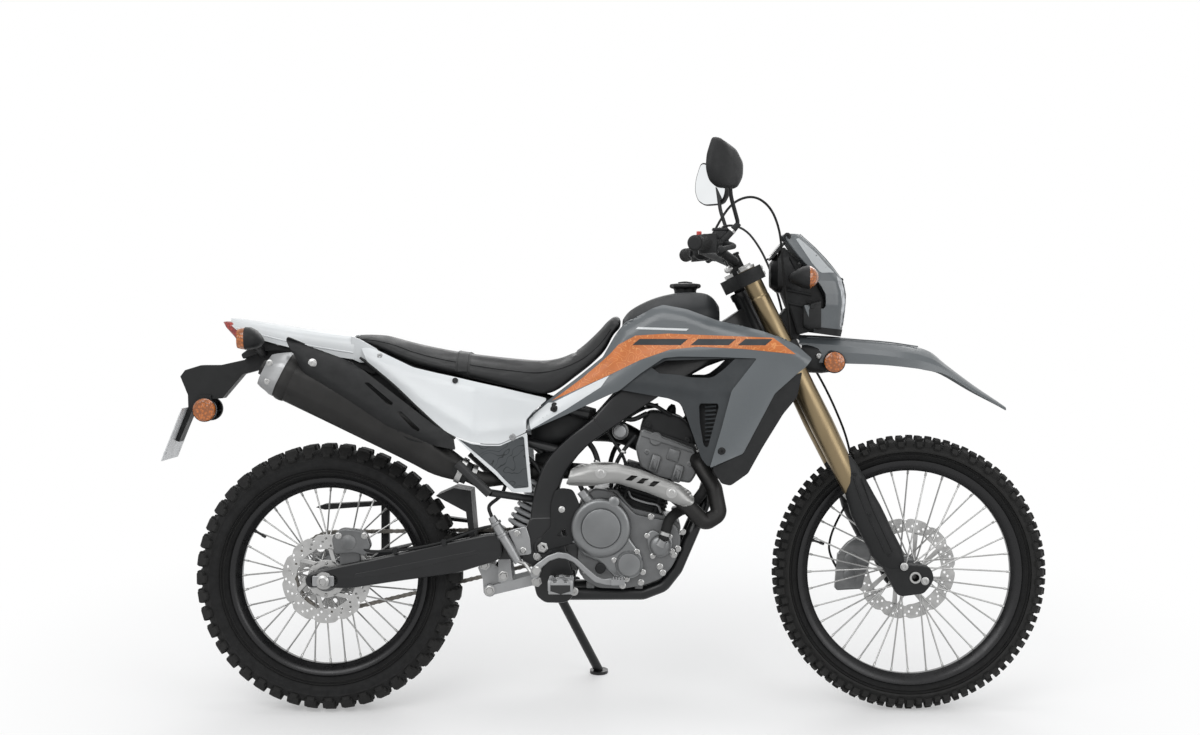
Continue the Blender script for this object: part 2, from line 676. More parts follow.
def bolt_head(radius=6.0, high=5.0, socket=True):
    """Flanged bolt head standing on its base along +Z."""
    small = bmesh.new()
    r = radius
    turned(small, [(r * 1.35, 0), (r * 1.35, high * 0.2), (r * 1.0, high * 0.34), (r, high * 0.85), (r * 0.86, high)]
           + ([(r * 0.5, high), (r * 0.46, high * 0.45)] if socket else []), (0, 0, 0), (0, 0, 1),
           sides=12 if socket else 6)
    return small


def bolts(shape, spots, radius=6.0, high=5.0, paint=0, socket=True):
    """Bolt heads at (x, y, z, direction) spots."""
    places = [(Vector(s[:3]), facing(s[3] if len(s) > 3 else TO_RIGHT), (1, 1, 1)) for s in spots]
    repeated(shape, bolt_head(radius, high, socket), places, paint)


# ---------------------------------------------------------------- wheels
# tread profile (side from the middle, radius) of the lug tips; the carcass lies a lug's height lower
FRONT_CROWN = ((0, 344), (13, 342.5), (31, 334), (43, 319))
REAR_CROWN = ((0, 332), (18, 331.5), (30, 330), (48, 322), (60, 307))
# columns: rows of lugs as side, half width, half length, share of a pitch, high
FRONT_LUGS = ((0, 9, 8, 0.0, 12), (-18, 7, 7.5, 0.5, 11), (18, 7, 7.5, 0.5, 11), (-31, 8, 8.5, 0.0, 12),
              (31, 8, 8.5, 0.0, 12), (-39, 7, 7, 0.5, 10), (39, 7, 7, 0.5, 10))
REAR_LUGS = ((-12, 10, 14, 0.0, 14), (12, 10, 14, 0.06, 14), (-33, 9, 14, 0.1, 13), (33, 9, 14, 0.0, 13),
             (-50, 10, 14, 0.02, 14), (50, 10, 14, 0.08, 14), (-57, 8, 9, 0.05, 12), (57, 8, 9, 0.05, 12))


def crown_at(crown, side):
    """Radius and slope of the lug tips at a distance from the middle."""
    reach = min(abs(side), crown[-1][0])
    for (a, r), (b, q) in zip(crown, crown[1:]):
        if reach <= b:
            return r + (q - r) * (reach - a) / (b - a), (q - r) / (b - a)
    return crown[-1][1], -1.2


def lug(half_wide, half_long, high):
    """One tread block, standing along +Z, long along X."""
    small = bmesh.new()
    w, l = half_wide, half_long
    rings = []
    for grow, z in ((1.14, -3.0), (1.05, high * 0.5), (1.0, high * 0.9), (0.93, high)):
        rings.append([(l * grow * x, w * grow * y, z) for x, y in ((-1, -0.85), (-0.85, -1), (0.85, -1), (1, -0.85),
                                                                   (1, 0.85), (0.85, 1), (-0.85, 1), (-1, 0.85))])
    quads(small, rings)
    return small


def knobbly_tyre(name, axle, crown, lugs, pitches, flange, rim_half, body):
    shape = bmesh.new()
    edge, shoulder = crown[-1]
    low = 12.0
    outer = [(flange - 11, rim_half - 7), (flange + 3, rim_half - 6), (flange + 7, rim_half - 1),
             (flange + 14, rim_half + 4), (flange + 26, edge - 6), ((shoulder + flange) / 2 + 6, edge - 3),
             (shoulder - 16, edge - 4)]
    outer += [(r - low, s - 1.5) for s, r in reversed(crown)]
    profile = [(r, -s) for r, s in outer] + [(r, s) for r, s in reversed(outer[:-1])]
    inner = [(flange - 10, rim_half - 13), (shoulder - 22, edge - 14), (crown[0][1] - low - 8, 0)]
    profile += [(r, s) for r, s in inner] + [(r, -s) for r, s in reversed(inner[:-1])]
    turned(shape, profile, axle, sides=144, closed=True)
    for ridge in (12, 19):
        for side in (-1, 1):
            ring_at = edge - 8 + (ridge - 12) * 0.25
            turned(shape, [(flange + ridge, side * (ring_at - 3)), (flange + ridge + 1.2, side * ring_at),
                           (flange + ridge + 2.6, side * (ring_at - 2))], axle, sides=96, closed=True)
    rng = random.Random(7)
    for side, half_w, half_l, share, high in lugs:
        tip, slope = crown_at(crown, side)
        places = []
        for k in range(pitches):
            angle = 2 * math.pi * (k + share + rng.uniform(-0.02, 0.02)) / pitches
            tilt = math.atan(slope) * (1 if side > 0 else -1)
            out = Vector((math.cos(angle), 0, math.sin(angle)))
            across = Vector(TO_LEFT)
            up = (out * math.cos(tilt) - across * math.sin(tilt)).normalized()
            if abs(side) < 1:
                up = out
            along = Vector((-math.sin(angle), 0, math.cos(angle)))
            wide = up.cross(along).normalized()
            turn = Matrix((along, wide, up)).transposed()
            spot = axle + out * tip + across * side - up * high
            places.append((spot, turn, (1, 1, 1)))
        repeated(shape, lug(half_w, half_l, high), places)
    piece(name + "_knobbly_tyre", shape, body, [TYRE_RUBBER], (name + "_tyre",), sharp=42,
          turn_out=False)


def spoked_rim(name, axle, flange, rim_half, stem_at, hub_flange, hub_half, body):
    shape = bmesh.new()
    w = rim_half
    profile = [(flange, -w), (flange + 0.6, -w + 2), (flange - 0.5, -w + 4), (flange - 11, -w + 6.4),
               (flange - 13, -w + 16), (flange - 20, -9), (flange - 20, 9), (flange - 13, w - 16),
               (flange - 11, w - 6.4), (flange - 0.5, w - 4), (flange + 0.6, w - 2), (flange, w),
               (flange - 5, w - 0.5), (flange - 14, w - 5), (flange - 22, 13), (flange - 26, 9),
               (flange - 26, -9), (flange - 22, -13), (flange - 14, -w + 5), (flange - 5, -w + 0.5)]
    turned(shape, profile, axle, sides=144, closed=True)
    stem = Vector((stem_at[0] - axle.x, 0, stem_at[1] - axle.z)).normalized()
    root = axle + stem * (flange - 24)
    turned(shape, [(4.5, 0), (4.5, 6), (3, 8), (3, 22), (4, 23), (4, 33), (2.5, 34)], root, -stem, sides=16, paint=0)
    nipple = bmesh.new()
    turned(nipple, [(3.6, -2), (3.6, 3), (3.0, 3.5), (3.0, 13), (2.2, 14)], (0, 0, 0), (0, 0, 1), sides=8)
    places = []
    for k in range(36):
        side = 1 if k % 2 else -1
        angle = math.radians(k * 10.0)
        cross = math.radians(34.0 if k % 4 < 2 else -34.0)
        lean = 3.5 if k % 4 < 2 else -3.5
        end = axle + Vector((math.cos(angle), 0, math.sin(angle))) * (flange - 24) + Vector((0, side * 5, 0))
        start = axle + Vector((math.cos(angle + cross), 0, math.sin(angle + cross))) * (hub_flange - 6)
        start.y += side * (hub_half - 11.5 + lean)
        run = (start - end).normalized()
        places.append((end - run * 1.0, facing(run), (1, 1, 1)))
    repeated(shape, nipple, places, 1)
    piece(name + "_spoked_rim", shape, body, [RIM_BLACK, BRIGHT_STEEL], (name + "_rim",), turn_out=False)


for wheel, axle, crown, lugs, pitches, flange, rim_half, stem, hub_flange, hub_half in (
        ("front", FRONT_AXLE, FRONT_CROWN, FRONT_LUGS, 44, 281, 25, (535, 424), 34, 52),
        ("rear", REAR_AXLE, REAR_CROWN, REAR_LUGS, 44, 247, 33, (-850, 437), 46, 62)):
    knobbly_tyre(wheel, axle, crown, lugs, pitches, flange, rim_half, wheel + "_wheel")
    spoked_rim(wheel, axle, flange, rim_half, stem, hub_flange, hub_half, wheel + "_wheel")


def around(axle, radius, angle, face=0.0):
    """Point at a radius and an angle round an axle, on a plane across it."""
    return axle.x + radius * math.cos(angle), face, axle.z + radius * math.sin(angle)


def in_side_view(axle, radius, angle):
    """The same point as (x, z), for the outline of a plate."""
    x, _, z = around(axle, radius, angle)
    return x, z


def brake_disc(name, axle, radius, inner, near, far, lobes, arms, body, swirl):
    """Wave-edged drilled disc on a spider."""
    shape = bmesh.new()
    rim, window = [], []
    for angle in turns(240):
        wave = max(0.0, math.cos(angle * lobes)) ** 3 * 5.5
        rim.append(in_side_view(axle, radius - wave, angle))
        window.append(in_side_view(axle, radius - 36 + wave * 0.6, angle))
    holes = [window]
    for base in turns(lobes * 2):
        for r, step in ((radius - 10, 0.0), (radius - 18, 0.09), (radius - 27, 0.17)):
            holes.append(circle(*in_side_view(axle, r, base + step), 3.1, 10))
    plate(shape, [rim] + holes, near, far, 0.4)
    centre, bore = inner + 16, circle(axle.x, axle.z, inner, 48)
    hub = [circle(axle.x, axle.z, centre, 64), bore]
    for angle in turns(6, 0.5):
        hub.append(circle(*in_side_view(axle, inner + 9, angle), 3.4, 12))
    plate(shape, hub, near, far, 0.4)
    for a in turns(arms):
        arm = [in_side_view(axle, centre - 4, a + turn) for turn in (-0.16, 0.16)]
        arm += [in_side_view(axle, radius - 33, a + swirl + turn) for turn in (0.07, -0.07)]
        plate(shape, [arm], near, far, 0.4)
    piece(name + "_wave", shape, body, [DISC_STEEL], (name,), turn_out=False)


brake_disc("front_disc", FRONT_AXLE, 128, 21, 60, 64, 12, 8, "front_wheel", 0.5)
brake_disc("rear_disc", REAR_AXLE, 110, 31, -74, -70, 10, 6, "rear_wheel", 0.4)


def disc_bolts(shape, axle, radius, face, side):
    """Six bolts that hold a disc, between its spider's arms."""
    bolts(shape, [(*around(axle, radius, a, face), (0, side, 0)) for a in turns(6, 0.5)], 3.6, 4, 1)


def wheel_hubs():
    shape = bmesh.new()
    turned(shape, [(13, -52), (20, -52), (22, -44), (34, -44), (34, -37), (25, -33), (21, -20), (21, 20),
                   (25, 33), (34, 37), (34, 44), (35, 46), (35, 60), (20.5, 60), (20.5, 66), (13, 66)], FRONT_AXLE,
           sides=64, closed=True)
    disc_bolts(shape, FRONT_AXLE, 30, 64, 1)
    piece("front_wheel_hub", shape, "front_wheel", [CAST_GREY, BRIGHT_STEEL], ("front_hub",),
          bevel=0.8)
    shape = bmesh.new()
    turned(shape, [(10.4, -78), (30.5, -78), (30.5, -70), (45, -70), (45, -62), (46, -54), (46, -47), (34, -42),
                   (30, -30), (30, 30), (34, 42), (46, 47), (46, 54), (40, 58), (58, 62), (58, 71), (40, 72),
                   (10.4, 72)], REAR_AXLE, sides=64, closed=True)
    disc_bolts(shape, REAR_AXLE, 40, -73.5, -1)
    piece("rear_wheel_hub", shape, "rear_wheel", [CAST_GREY, BRIGHT_STEEL], ("rear_hub",),
          bevel=0.8)


wheel_hubs()


# ---------------------------------------------------------------- chain and sprockets
DRIVE = Vector((-98.0, 0.0, 408.0))
SMALL_PITCH, LARGE_PITCH = 36.0, 101.0
CHAIN_SIDE = 75.0
LINK_HALF_HIGH = 5.6


def toothed(centre, pitch_radius, teeth):
    points = []
    for k in range(teeth):
        for share, grow in ((0.0, -6.0), (0.2, -5.0), (0.38, 1.5), (0.46, 4.0), (0.54, 4.0), (0.62, 1.5),
                            (0.8, -5.0)):
            angle = 2 * math.pi * (k + share) / teeth
            points.append(in_side_view(centre, pitch_radius + grow, angle))
    return points


def chain_path(pitch=15.9):
    """Points and directions one pitch apart along the closed run round both sprockets."""
    line = Vector((REAR_AXLE.x - DRIVE.x, 0, REAR_AXLE.z - DRIVE.z))
    along = math.atan2(line.z, line.x)
    open_angle = math.acos((SMALL_PITCH - LARGE_PITCH) / line.length)
    path = []
    top, low = along - open_angle, along + open_angle

    for k in range(41):
        path.append(Vector(around(REAR_AXLE, LARGE_PITCH, top + (low - top) * k / 40)))
    for k in range(25):
        path.append(Vector(around(DRIVE, SMALL_PITCH, low + (2 * math.pi - (low - top)) * k / 24)))
    path.append(path[0])
    lengths = [0.0]
    for a, b in zip(path, path[1:]):
        lengths.append(lengths[-1] + (b - a).length)
    count = 2 * round(lengths[-1] / pitch / 2)
    spots = []
    i = 0
    for k in range(count):
        want = lengths[-1] * k / count
        while lengths[i + 1] < want:
            i += 1
        t = (want - lengths[i]) / max(lengths[i + 1] - lengths[i], 1e-6)
        spots.append(path[i].lerp(path[i + 1], t))
    return spots


def drive_chain():
    shape = bmesh.new()
    spots = chain_path()
    pitch = (spots[1] - spots[0]).length
    for kind in (0, 1):
        small = bmesh.new()
        face = []
        for a in turns(16):
            c, s = math.cos(a), math.sin(a)
            face.append((pitch / 2 * (1 if c > 0.01 else -1 if c < -0.01 else 0) + LINK_HALF_HIGH * c,
                         LINK_HALF_HIGH * s * (0.72 if abs(c) < 0.3 else 1)))
        for side in (-1, 1):
            near = side * (6.3 if kind else 4.3)
            plate(small, [face], near - 0.8, near + 0.8, 0.3)
        thick, half, sides = ((4.6, 3.4, 10), (2.4, 7.9, 8))[kind]
        for x in (-pitch / 2, pitch / 2):
            turned(small, [(thick, -half), (thick, half)], (x, 0, 0), sides=sides)
        places = []
        for k in range(kind, len(spots), 2):
            a, b = spots[k], spots[(k + 1) % len(spots)]
            run = (b - a).normalized()
            turn = Matrix((run, TO_LEFT, run.cross(Vector(TO_LEFT)))).transposed()
            places.append(((a + b) / 2 + Vector((0, CHAIN_SIDE, 0)), turn, (1, 1, 1)))
        repeated(shape, small, places)
    piece("roller_chain", shape, "frame", [CHAIN_STEEL], ("chain",), turn_out=False)
    shape = bmesh.new()
    holes = [circle(REAR_AXLE.x, REAR_AXLE.z, 38, 48)]
    for angle in turns(6):
        holes.append(circle(*in_side_view(REAR_AXLE, 72, angle), 11.5, 24))
        holes.append(circle(*in_side_view(REAR_AXLE, 74, angle + math.pi / 6), 6, 16))
    plate(shape, [toothed(REAR_AXLE, LARGE_PITCH - 4, 40)] + holes, 72, 77, 0.5)
    bolts(shape, [(*around(REAR_AXLE, 50, a, 77), TO_LEFT) for a in turns(6, 0.5)], 5, 6, 0, False)
    piece("rear_chainwheel", shape, "rear_wheel", [BRIGHT_STEEL], ("rear_sprocket",), turn_out=False)
    shape = bmesh.new()
    plate(shape, [toothed(DRIVE, SMALL_PITCH - 4, 14)], 72.5, 77.5, 0.5)
    bolts(shape, [(DRIVE.x, 77.5, DRIVE.z, TO_LEFT)], 9, 7, 0, False)
    piece("drive_chainwheel", shape, "frame", [BRIGHT_STEEL], turn_out=False)


drive_chain()


# ---------------------------------------------------------------- panels of the body
# columns: x, distance from the centre plane low down, and high up
SHROUD_HEIGHTS = (560, 1020)
SHROUD_PLAN = ((-190, 118, 116), (0, 124, 108), (55, 132, 114), (130, 153, 124), (280, 188, 153),
               (370, 200, 182), (440, 204, 196), (530, 196, 194))
SIDE_HEIGHTS = (540, 940)
SIDE_PLAN = ((-700, 150, 84), (-590, 165, 90), (-450, 185, 114), (-300, 182, 128), (-240, 150, 125),
             (-120, 98, 119))
SHROUD_TOP = [(-177, 731), (-126, 778), (-56, 831), (10, 885), (54, 957), (135, 1007), (160, 1015), (217, 1004),
              (293, 976), (401, 950), (483, 916), (520, 883)]
SHROUD_FOLD = [(-170, 716), (40, 822), (110, 880), (180, 900), (400, 912), (520, 883)]
STRIPE = [(-114, 779), (-44, 831), (-1, 867), (29, 894), (50, 917), (92, 939), (170, 944), (426, 934), (480, 894),
          (353, 907), (243, 912), (176, 905), (102, 879), (29, 843)]


def line_distance(line, x, z):
    """Distance in the side view from a point to a line of points."""
    best = 1e9
    for (a, b), (c, d) in zip(line, line[1:]):
        run_x, run_z = c - a, d - b
        t = max(0.0, min(1.0, ((x - a) * run_x + (z - b) * run_z) / (run_x ** 2 + run_z ** 2)))
        best = min(best, math.hypot(x - a - t * run_x, z - b - t * run_z))
    return best


def roll_along(line, reach, x, z):
    """1 on a line, falling to 0 at its reach: an edge that rolls over."""
    return max(0.0, 1 - line_distance(line, x, z) / reach) ** 2


def ridge_along(line, reach, x, z):
    """1 on a line, fading softly on both sides: a ridge or a hollow."""
    return math.exp(-(line_distance(line, x, z) / reach) ** 2)


def plan_distance(plan, heights, x, z):
    low, high = between(plan, x)
    return low + (high - low) * (z - heights[0]) / (heights[1] - heights[0])


def shroud_side(x, z):
    """Shroud's outer face: rolled top edge, folded ridge, hollow front wing."""
    rolled = roll_along(SHROUD_TOP, 30, x, z)
    ridge = ridge_along(SHROUD_FOLD, 20, x, z)
    wing = ridge_along([(455, 860), (330, 660)], 42, x, z)
    return plan_distance(SHROUD_PLAN, SHROUD_HEIGHTS, x, z) - 13 * rolled + 4.0 * ridge - 7.0 * wing


def inner_side(x, z):
    """Inner panel's face, under the shroud."""
    ridge = ridge_along([(80, 828), (215, 812), (262, 800), (268, 640)], 16, x, z)
    facet = ridge_along([(392, 892), (322, 806)], 16, x, z)
    return plan_distance(SHROUD_PLAN, SHROUD_HEIGHTS, x, z) - 6.5 + 3.0 * ridge + 4.0 * facet


def guide_side(x, z):
    return plan_distance(SHROUD_PLAN, SHROUD_HEIGHTS, x, z) - 7.0


SIDE_TOP = [(-590, 915), (-546, 903), (-455, 861), (-348, 837), (-129, 785)]


def side_face(x, z):
    """Side panel's outer face: rolled along the seat, fluted along its lower edge."""
    rolled = roll_along(SIDE_TOP, 24, x, z)
    ridge = ridge_along([(-560, 884), (-420, 780), (-300, 706), (-190, 716)], 15, x, z)
    return plan_distance(SIDE_PLAN, SIDE_HEIGHTS, x, z) - 8 * rolled + 3.0 * ridge


def make_shrouds():
    outline = [(42, 941), (54, 957), (65, 969), (135, 1007), (160, 1015), (217, 1004), (293, 976), (350, 963),
               (401, 950), (453, 931), (483, 916), (520, 883), (505, 864), (483, 847), (429, 799), (405, 753),
               (352, 653), (272, 618), (300, 712), (325, 805), (386, 884), (290, 887), (198, 888), (160, 884),
               (104, 846), (52, 804), (20, 790), (-80, 744), (-174, 703), (-177, 731), (-158, 751), (-126, 778),
               (-56, 831), (10, 885)]
    shape = bmesh.new()
    sheet_of(shape, rounded(outline, 5, 3), shroud_side, 3.2, grid=8.0)
    sheet_of(shape, rounded(STRIPE, 1.5, 2), shroud_side, 0.5, grid=8.0, paint=1, lift=0.55)
    patch = [(-171, 732), (-155, 748), (-123, 774), (-112, 774), (-10, 824), (27, 841), (6, 812), (-80, 757),
             (-166, 708)]
    sheet_of(shape, rounded(patch, 2, 2), shroud_side, 0.5, grid=8.0, paint=2, lift=0.5)
    for rear, long in ((84, 118), (226, 92), (340, 66)):
        slant = [(rear, 916), (rear + 18, 931), (rear + 18 + long, 931), (rear + long, 916)]
        sheet_of(shape, slant, shroud_side, 0.4, grid=12.0, paint=3, lift=0.95)
    sheet_of(shape, [(92, 955), (98, 960), (222, 956), (216, 951)], shroud_side, 0.4, grid=12.0, paint=2, lift=0.5)
    for side in (-1, 1):
        bolts(shape, [(x, side * (shroud_side(x, z) - 1), z, (0, side, 0)) for x, z in ((301, 658), (-108, 758))],
              7.5, 6, paint=4)
    piece("shroud_skins", shape, "frame", [GREY_PAINT, ORANGE_STRIPE, WHITE_PAINT, DARK_PANEL, SOFT_BLACK],
          ("shrouds",), bevel=0.7)

    shape = bmesh.new()
    dark = [(50, 806), (160, 892), (290, 894), (334, 894), (396, 892), (334, 800), (278, 622), (266, 622), (252, 640),
            (211, 756), (198, 775), (173, 785)]
    window = [(130, 861), (146, 868), (164, 878), (335, 884), (308, 858), (284, 840), (272, 836), (225, 837),
              (196, 843), (150, 846)]
    slot = [(246, 768), (250, 774), (292, 774), (294, 764), (268, 669), (262, 667), (256, 676), (248, 724)]
    sheet_of(shape, rounded(dark, 5, 3), inner_side, 3.4, grid=8.0,
             holes=(rounded(window, 3, 2), rounded(slot, 3, 2)))
    for side in (-1, 1):
        for k in range(9):
            z = 684 + 10 * k
            low = (262, side * (inner_side(262, z) - 24), z)
            pipe(shape, [low, (288, side * (inner_side(288, z + 3) - 14), z + 3)], 2.4, sides=8)
    dark_behind = [(238, 786), (304, 786), (288, 656), (246, 656)]
    sheet_of(shape, dark_behind, lambda x, z: inner_side(x, z) - 30, 2, grid=20.0, paint=1)
    piece("inner_shrouds", shape, "frame", [DARK_PANEL, SOFT_BLACK], ("shroud_panels",), bevel=0.7)

    shape = bmesh.new()
    guide = [(322, 575), (364, 605), (401, 671), (449, 749), (483, 790), (496, 852), (450, 828), (428, 810),
             (398, 765), (343, 668), (300, 640), (284, 636), (280, 612), (300, 580)]
    sheet_of(shape, rounded(guide, 6, 3), guide_side, 3.0, grid=12.0)
    piece("radiator_guides", shape, "frame", [SOFT_BLACK], ("air_guides",), bevel=0.7)


def make_side_panels():
    outline = [(-590, 915), (-546, 903), (-455, 861), (-400, 848), (-348, 837), (-240, 812), (-129, 785), (-129, 779),
               (-160, 752), (-177, 732), (-177, 703), (-185, 698), (-240, 674), (-275, 675), (-310, 680),
               (-348, 693), (-375, 708), (-400, 729), (-450, 774), (-500, 820), (-569, 874)]
    shape = bmesh.new()
    sheet_of(shape, rounded(outline, 5, 3), side_face, 3.2, grid=8.0)
    for side in (-1, 1):
        rim = [(x, side * (side_face(x, z) - 1.2), z) for x, z in
               [(-588, 884), (-569, 871), (-500, 816), (-450, 770), (-400, 725), (-375, 704), (-348, 689)]]
        pipe(shape, rim, 3.4, sides=10, smooth=3, paint=1)
        bolts(shape, [(-211, side * (side_face(-211, 690) - 1), 690, (0, side, 0))], 7, 5, paint=2)
        bolts(shape, [(-539, side * (side_face(-539, 888) - 3), 888, (0, side, 0))], 6, 5, paint=2)
    piece("side_skins", shape, "frame", [WHITE_PAINT, SOFT_BLACK, CAST_SILVER], ("side_panels",),
          bevel=0.7)

    shape = bmesh.new()
    cover = [(-348, 691), (-310, 678), (-275, 673), (-240, 672), (-185, 696), (-175, 701), (-172, 660), (-163, 553),
             (-209, 555), (-230, 577), (-251, 600), (-300, 646)]
    sheet_of(shape, rounded(cover, 4, 3), side_face, 3.0, grid=9.0, lift=-0.5)
    field = [(-340, 687), (-309, 675), (-275, 670), (-240, 669), (-186, 692), (-182, 688), (-178, 640), (-171, 566),
             (-205, 564), (-226, 584), (-248, 609), (-296, 652)]
    sheet_of(shape, rounded(field, 3, 2), side_face, 0.6, grid=9.0, paint=1, lift=0.2)
    piece("side_cover_skins", shape, "frame", [WHITE_PAINT, MAP_PANEL], ("side_covers",), bevel=0.5)


make_shrouds()
make_side_panels()


# ---------------------------------------------------------------- tank and seat
def barrel(x, low, middle, top, low_half, middle_half, top_half, steps=5):
    """Rounded cross-section of the tank or the seat at x."""
    key = [(-low_half * 0.55, low), (-low_half, low + 3), (-middle_half, middle), (-top_half, top - 5),
           (-top_half * 0.5, top), (top_half * 0.5, top), (top_half, top - 5), (middle_half, middle),
           (low_half, low + 3), (low_half * 0.55, low)]
    return [(x, p.x, p.y) for p in smooth_through([(y, z, 0) for y, z in key], steps, closed=True)]


def lofted(shape, stations, per_span=4, paint=0):
    rows = smooth_rows(stations, per_span)
    quads(shape, [barrel(*row) for row in rows], paint=paint)


def smooth_rows(rows, per_span):
    """Rows of numbers eased between the given rows."""
    out = []
    for i in range(len(rows) - 1):
        before, after = rows[max(i - 1, 0)], rows[min(i + 2, len(rows) - 1)]
        for k in range(per_span):
            t = k / per_span
            out.append(tuple(0.5 * (2 * b + (c - a) * t + (2 * a - 5 * b + 4 * c - d) * t * t
                                    + (3 * b - a - 3 * c + d) * t ** 3)
                             for a, b, c, d in zip(before, rows[i], rows[i + 1], after)))
    out.append(tuple(rows[-1]))
    return out


def make_tank():
    shape = bmesh.new()
    lofted(shape, ((58, 812, 940, 975, 72, 78, 48), (80, 822, 955, 1002, 86, 92, 56),
                   (135, 858, 975, 1030, 94, 101, 62), (200, 898, 992, 1045, 96, 105, 66),
                   (258, 936, 1002, 1045, 88, 95, 60), (284, 956, 1000, 1034, 74, 82, 52),
                   (302, 968, 992, 1010, 58, 64, 42)), 5)
    piece("tank_skin", shape, "frame", [TANK_PAINT], ("fuel_tank",), rounds=1)
    shape = bmesh.new()
    rings = []
    for radius, z, lobe in ((27, 1042, 0), (28, 1052, 0), (30, 1056, 0.4), (36, 1057.5, 1), (39, 1060, 1),
                            (39.5, 1064, 1), (37, 1068, 0.8), (30, 1069, 0.2), (16, 1070.5, 0), (3, 1071, 0)):
        lobed = [(a, radius - 2.6 * lobe * (0.5 - 0.5 * math.cos(8 * a))) for a in turns(96)]
        rings.append([(217 + r * math.cos(a), r * math.sin(a), z) for a, r in lobed])
    quads(shape, rings)
    pipe(shape, [(200, -7, 1070), (217, 0, 1072), (234, 7, 1070)], 3, sides=8, smooth=3, paint=0)
    piece("filler_cap", shape, "frame", [BLACK_PLASTIC], ("tank_cap",), sharp=50)


SEAT_SWELL = 0.006             # the most that the padding may swell, in metres
CLOTH_STEPS = 20


def make_seat():
    """Padded seat, blown up a little from a tighter core, with strap, piping and edge."""
    shape = bmesh.new()
    lofted(shape, ((-604, 922, 932, 940, 54, 57, 44), (-546, 904, 922, 935, 74, 77, 60),
                   (-455, 866, 891, 911, 92, 95, 74), (-348, 840, 867, 890, 106, 109, 86),
                   (-215, 811, 847, 874, 115, 118, 90), (-126, 796, 844, 870, 107, 110, 82),
                   (-56, 838, 867, 893, 92, 94, 74), (8, 893, 917, 949, 80, 83, 64),
                   (36, 940, 958, 984, 72, 75, 56), (54, 958, 970, 984, 66, 67, 48)), 5)
    bmesh.ops.recalc_face_normals(shape, faces=shape.faces[:])
    mesh = bpy.data.meshes.new("seat_pad")
    shape.to_mesh(mesh)
    shape.free()
    mesh.transform(PARKED)
    pad = bpy.data.objects.new("seat_pad", mesh)
    bpy.context.scene.collection.objects.link(pad)
    remesh = pad.modifiers.new("voxels", "REMESH")
    remesh.mode = "VOXEL"
    remesh.voxel_size = 0.006
    smooth = pad.modifiers.new("even", "SMOOTH")
    smooth.iterations = 4
    settle(pad)
    core = [v.co.copy() for v in pad.data.vertices]
    upright_back = PARKED.inverted()
    held = pad.vertex_groups.new(name="base")
    for v in pad.data.vertices:
        local = upright_back @ v.co
        middle = between(((-604, 930), (-455, 882), (-348, 856), (-215, 832), (-126, 824), (-56, 855),
                          (8, 906), (36, 950), (54, 965)), local.x)[0]
        if local.z < middle:
            held.add([v.index], 1.0, "REPLACE")
    cloth = pad.modifiers.new("air", "CLOTH")
    cloth.settings.use_pressure = True
    cloth.settings.uniform_pressure_force = 4.0
    cloth.settings.effector_weights.gravity = 0.0
    cloth.settings.vertex_group_mass = "base"
    cloth.point_cache.frame_start, cloth.point_cache.frame_end = 1, CLOTH_STEPS
    for step in range(1, CLOTH_STEPS + 1):
        bpy.context.scene.frame_set(step)
    settle(pad)
    bpy.context.scene.frame_set(1)
    for v, rest in zip(pad.data.vertices, core):
        move = v.co - rest
        if move.length > SEAT_SWELL:
            v.co = rest + move.normalized() * SEAT_SWELL
    pad.vertex_groups.clear()
    finer = pad.modifiers.new("finer", "SUBSURF")
    finer.levels = finer.render_levels = 1
    settle(pad)
    pad.data.materials.append(SEAT_VINYL)
    pad.data.polygons.foreach_set("use_smooth", [True] * len(pad.data.polygons))
    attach(pad, "frame")
    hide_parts("seat")
    return pad


def settle(thing):
    """Applies an object's modifiers to its mesh."""
    made = as_made(thing)
    thing.modifiers.clear()
    old = thing.data
    thing.data = made
    bpy.data.meshes.remove(old)
    bpy.context.view_layer.update()


def on_pad(pad, start, direction):
    """Point of the pad's skin that a ray from a point in millimetres meets."""
    turn = PARKED.to_3x3()
    hit, spot, _, _ = pad.ray_cast(PARKED @ Vector(start), (turn @ Vector(direction)).normalized())
    return PARKED.inverted() @ spot if hit else Vector(start)


# the welt along the seat's side, in the side view
SEAT_SEAM = ((-590, 930), (-546, 925), (-500, 913), (-455, 897), (-400, 883), (-348, 873), (-280, 861), (-215, 853),
             (-170, 848), (-126, 850), (-90, 859), (-56, 873), (-24, 893), (8, 924), (30, 955))


def over_the_seat(start, sweep):
    """Directions across the seat, from one side over the top to the other."""
    angles = [math.radians(start + sweep * step / 40) for step in range(41)]
    return [Vector((0, math.cos(a), math.sin(a))) for a in angles]


def trim_seat(pad):
    shape = bmesh.new()
    rings = []
    for ray in over_the_seat(-14, 208):
        a, b = (on_pad(pad, Vector((x, 0, 858)) + ray * 300, -ray) for x in (-352, -318))
        rings.append([a - ray * 2, a + ray * 2.0, a * 0.85 + b * 0.15 + ray * 3.4, a * 0.15 + b * 0.85 + ray * 3.4,
                      b + ray * 2.0, b - ray * 2])
    quads(shape, rings)
    for x in (-348, -322):
        line = [on_pad(pad, Vector((x, 0, 858)) + ray * 300, -ray) + ray * 3.2 for ray in over_the_seat(-12, 204)]
        pipe(shape, line, 1.0, sides=6, paint=1)
    piece("seat_strap", shape, "frame", [SEAT_VINYL, SOFT_BLACK])
    shape = bmesh.new()
    for side in (-1, 1):
        seam = [on_pad(pad, (x, side * 300, z), (0, -side, 0)) + Vector((0, side * 0.3, 0)) for x, z in SEAT_SEAM]
        pipe(shape, seam, 1.5, sides=8, smooth=4)
    piece("seat_piping", shape, "frame", [SOFT_BLACK])


make_tank()
seat_pad = make_seat()
trim_seat(seat_pad)


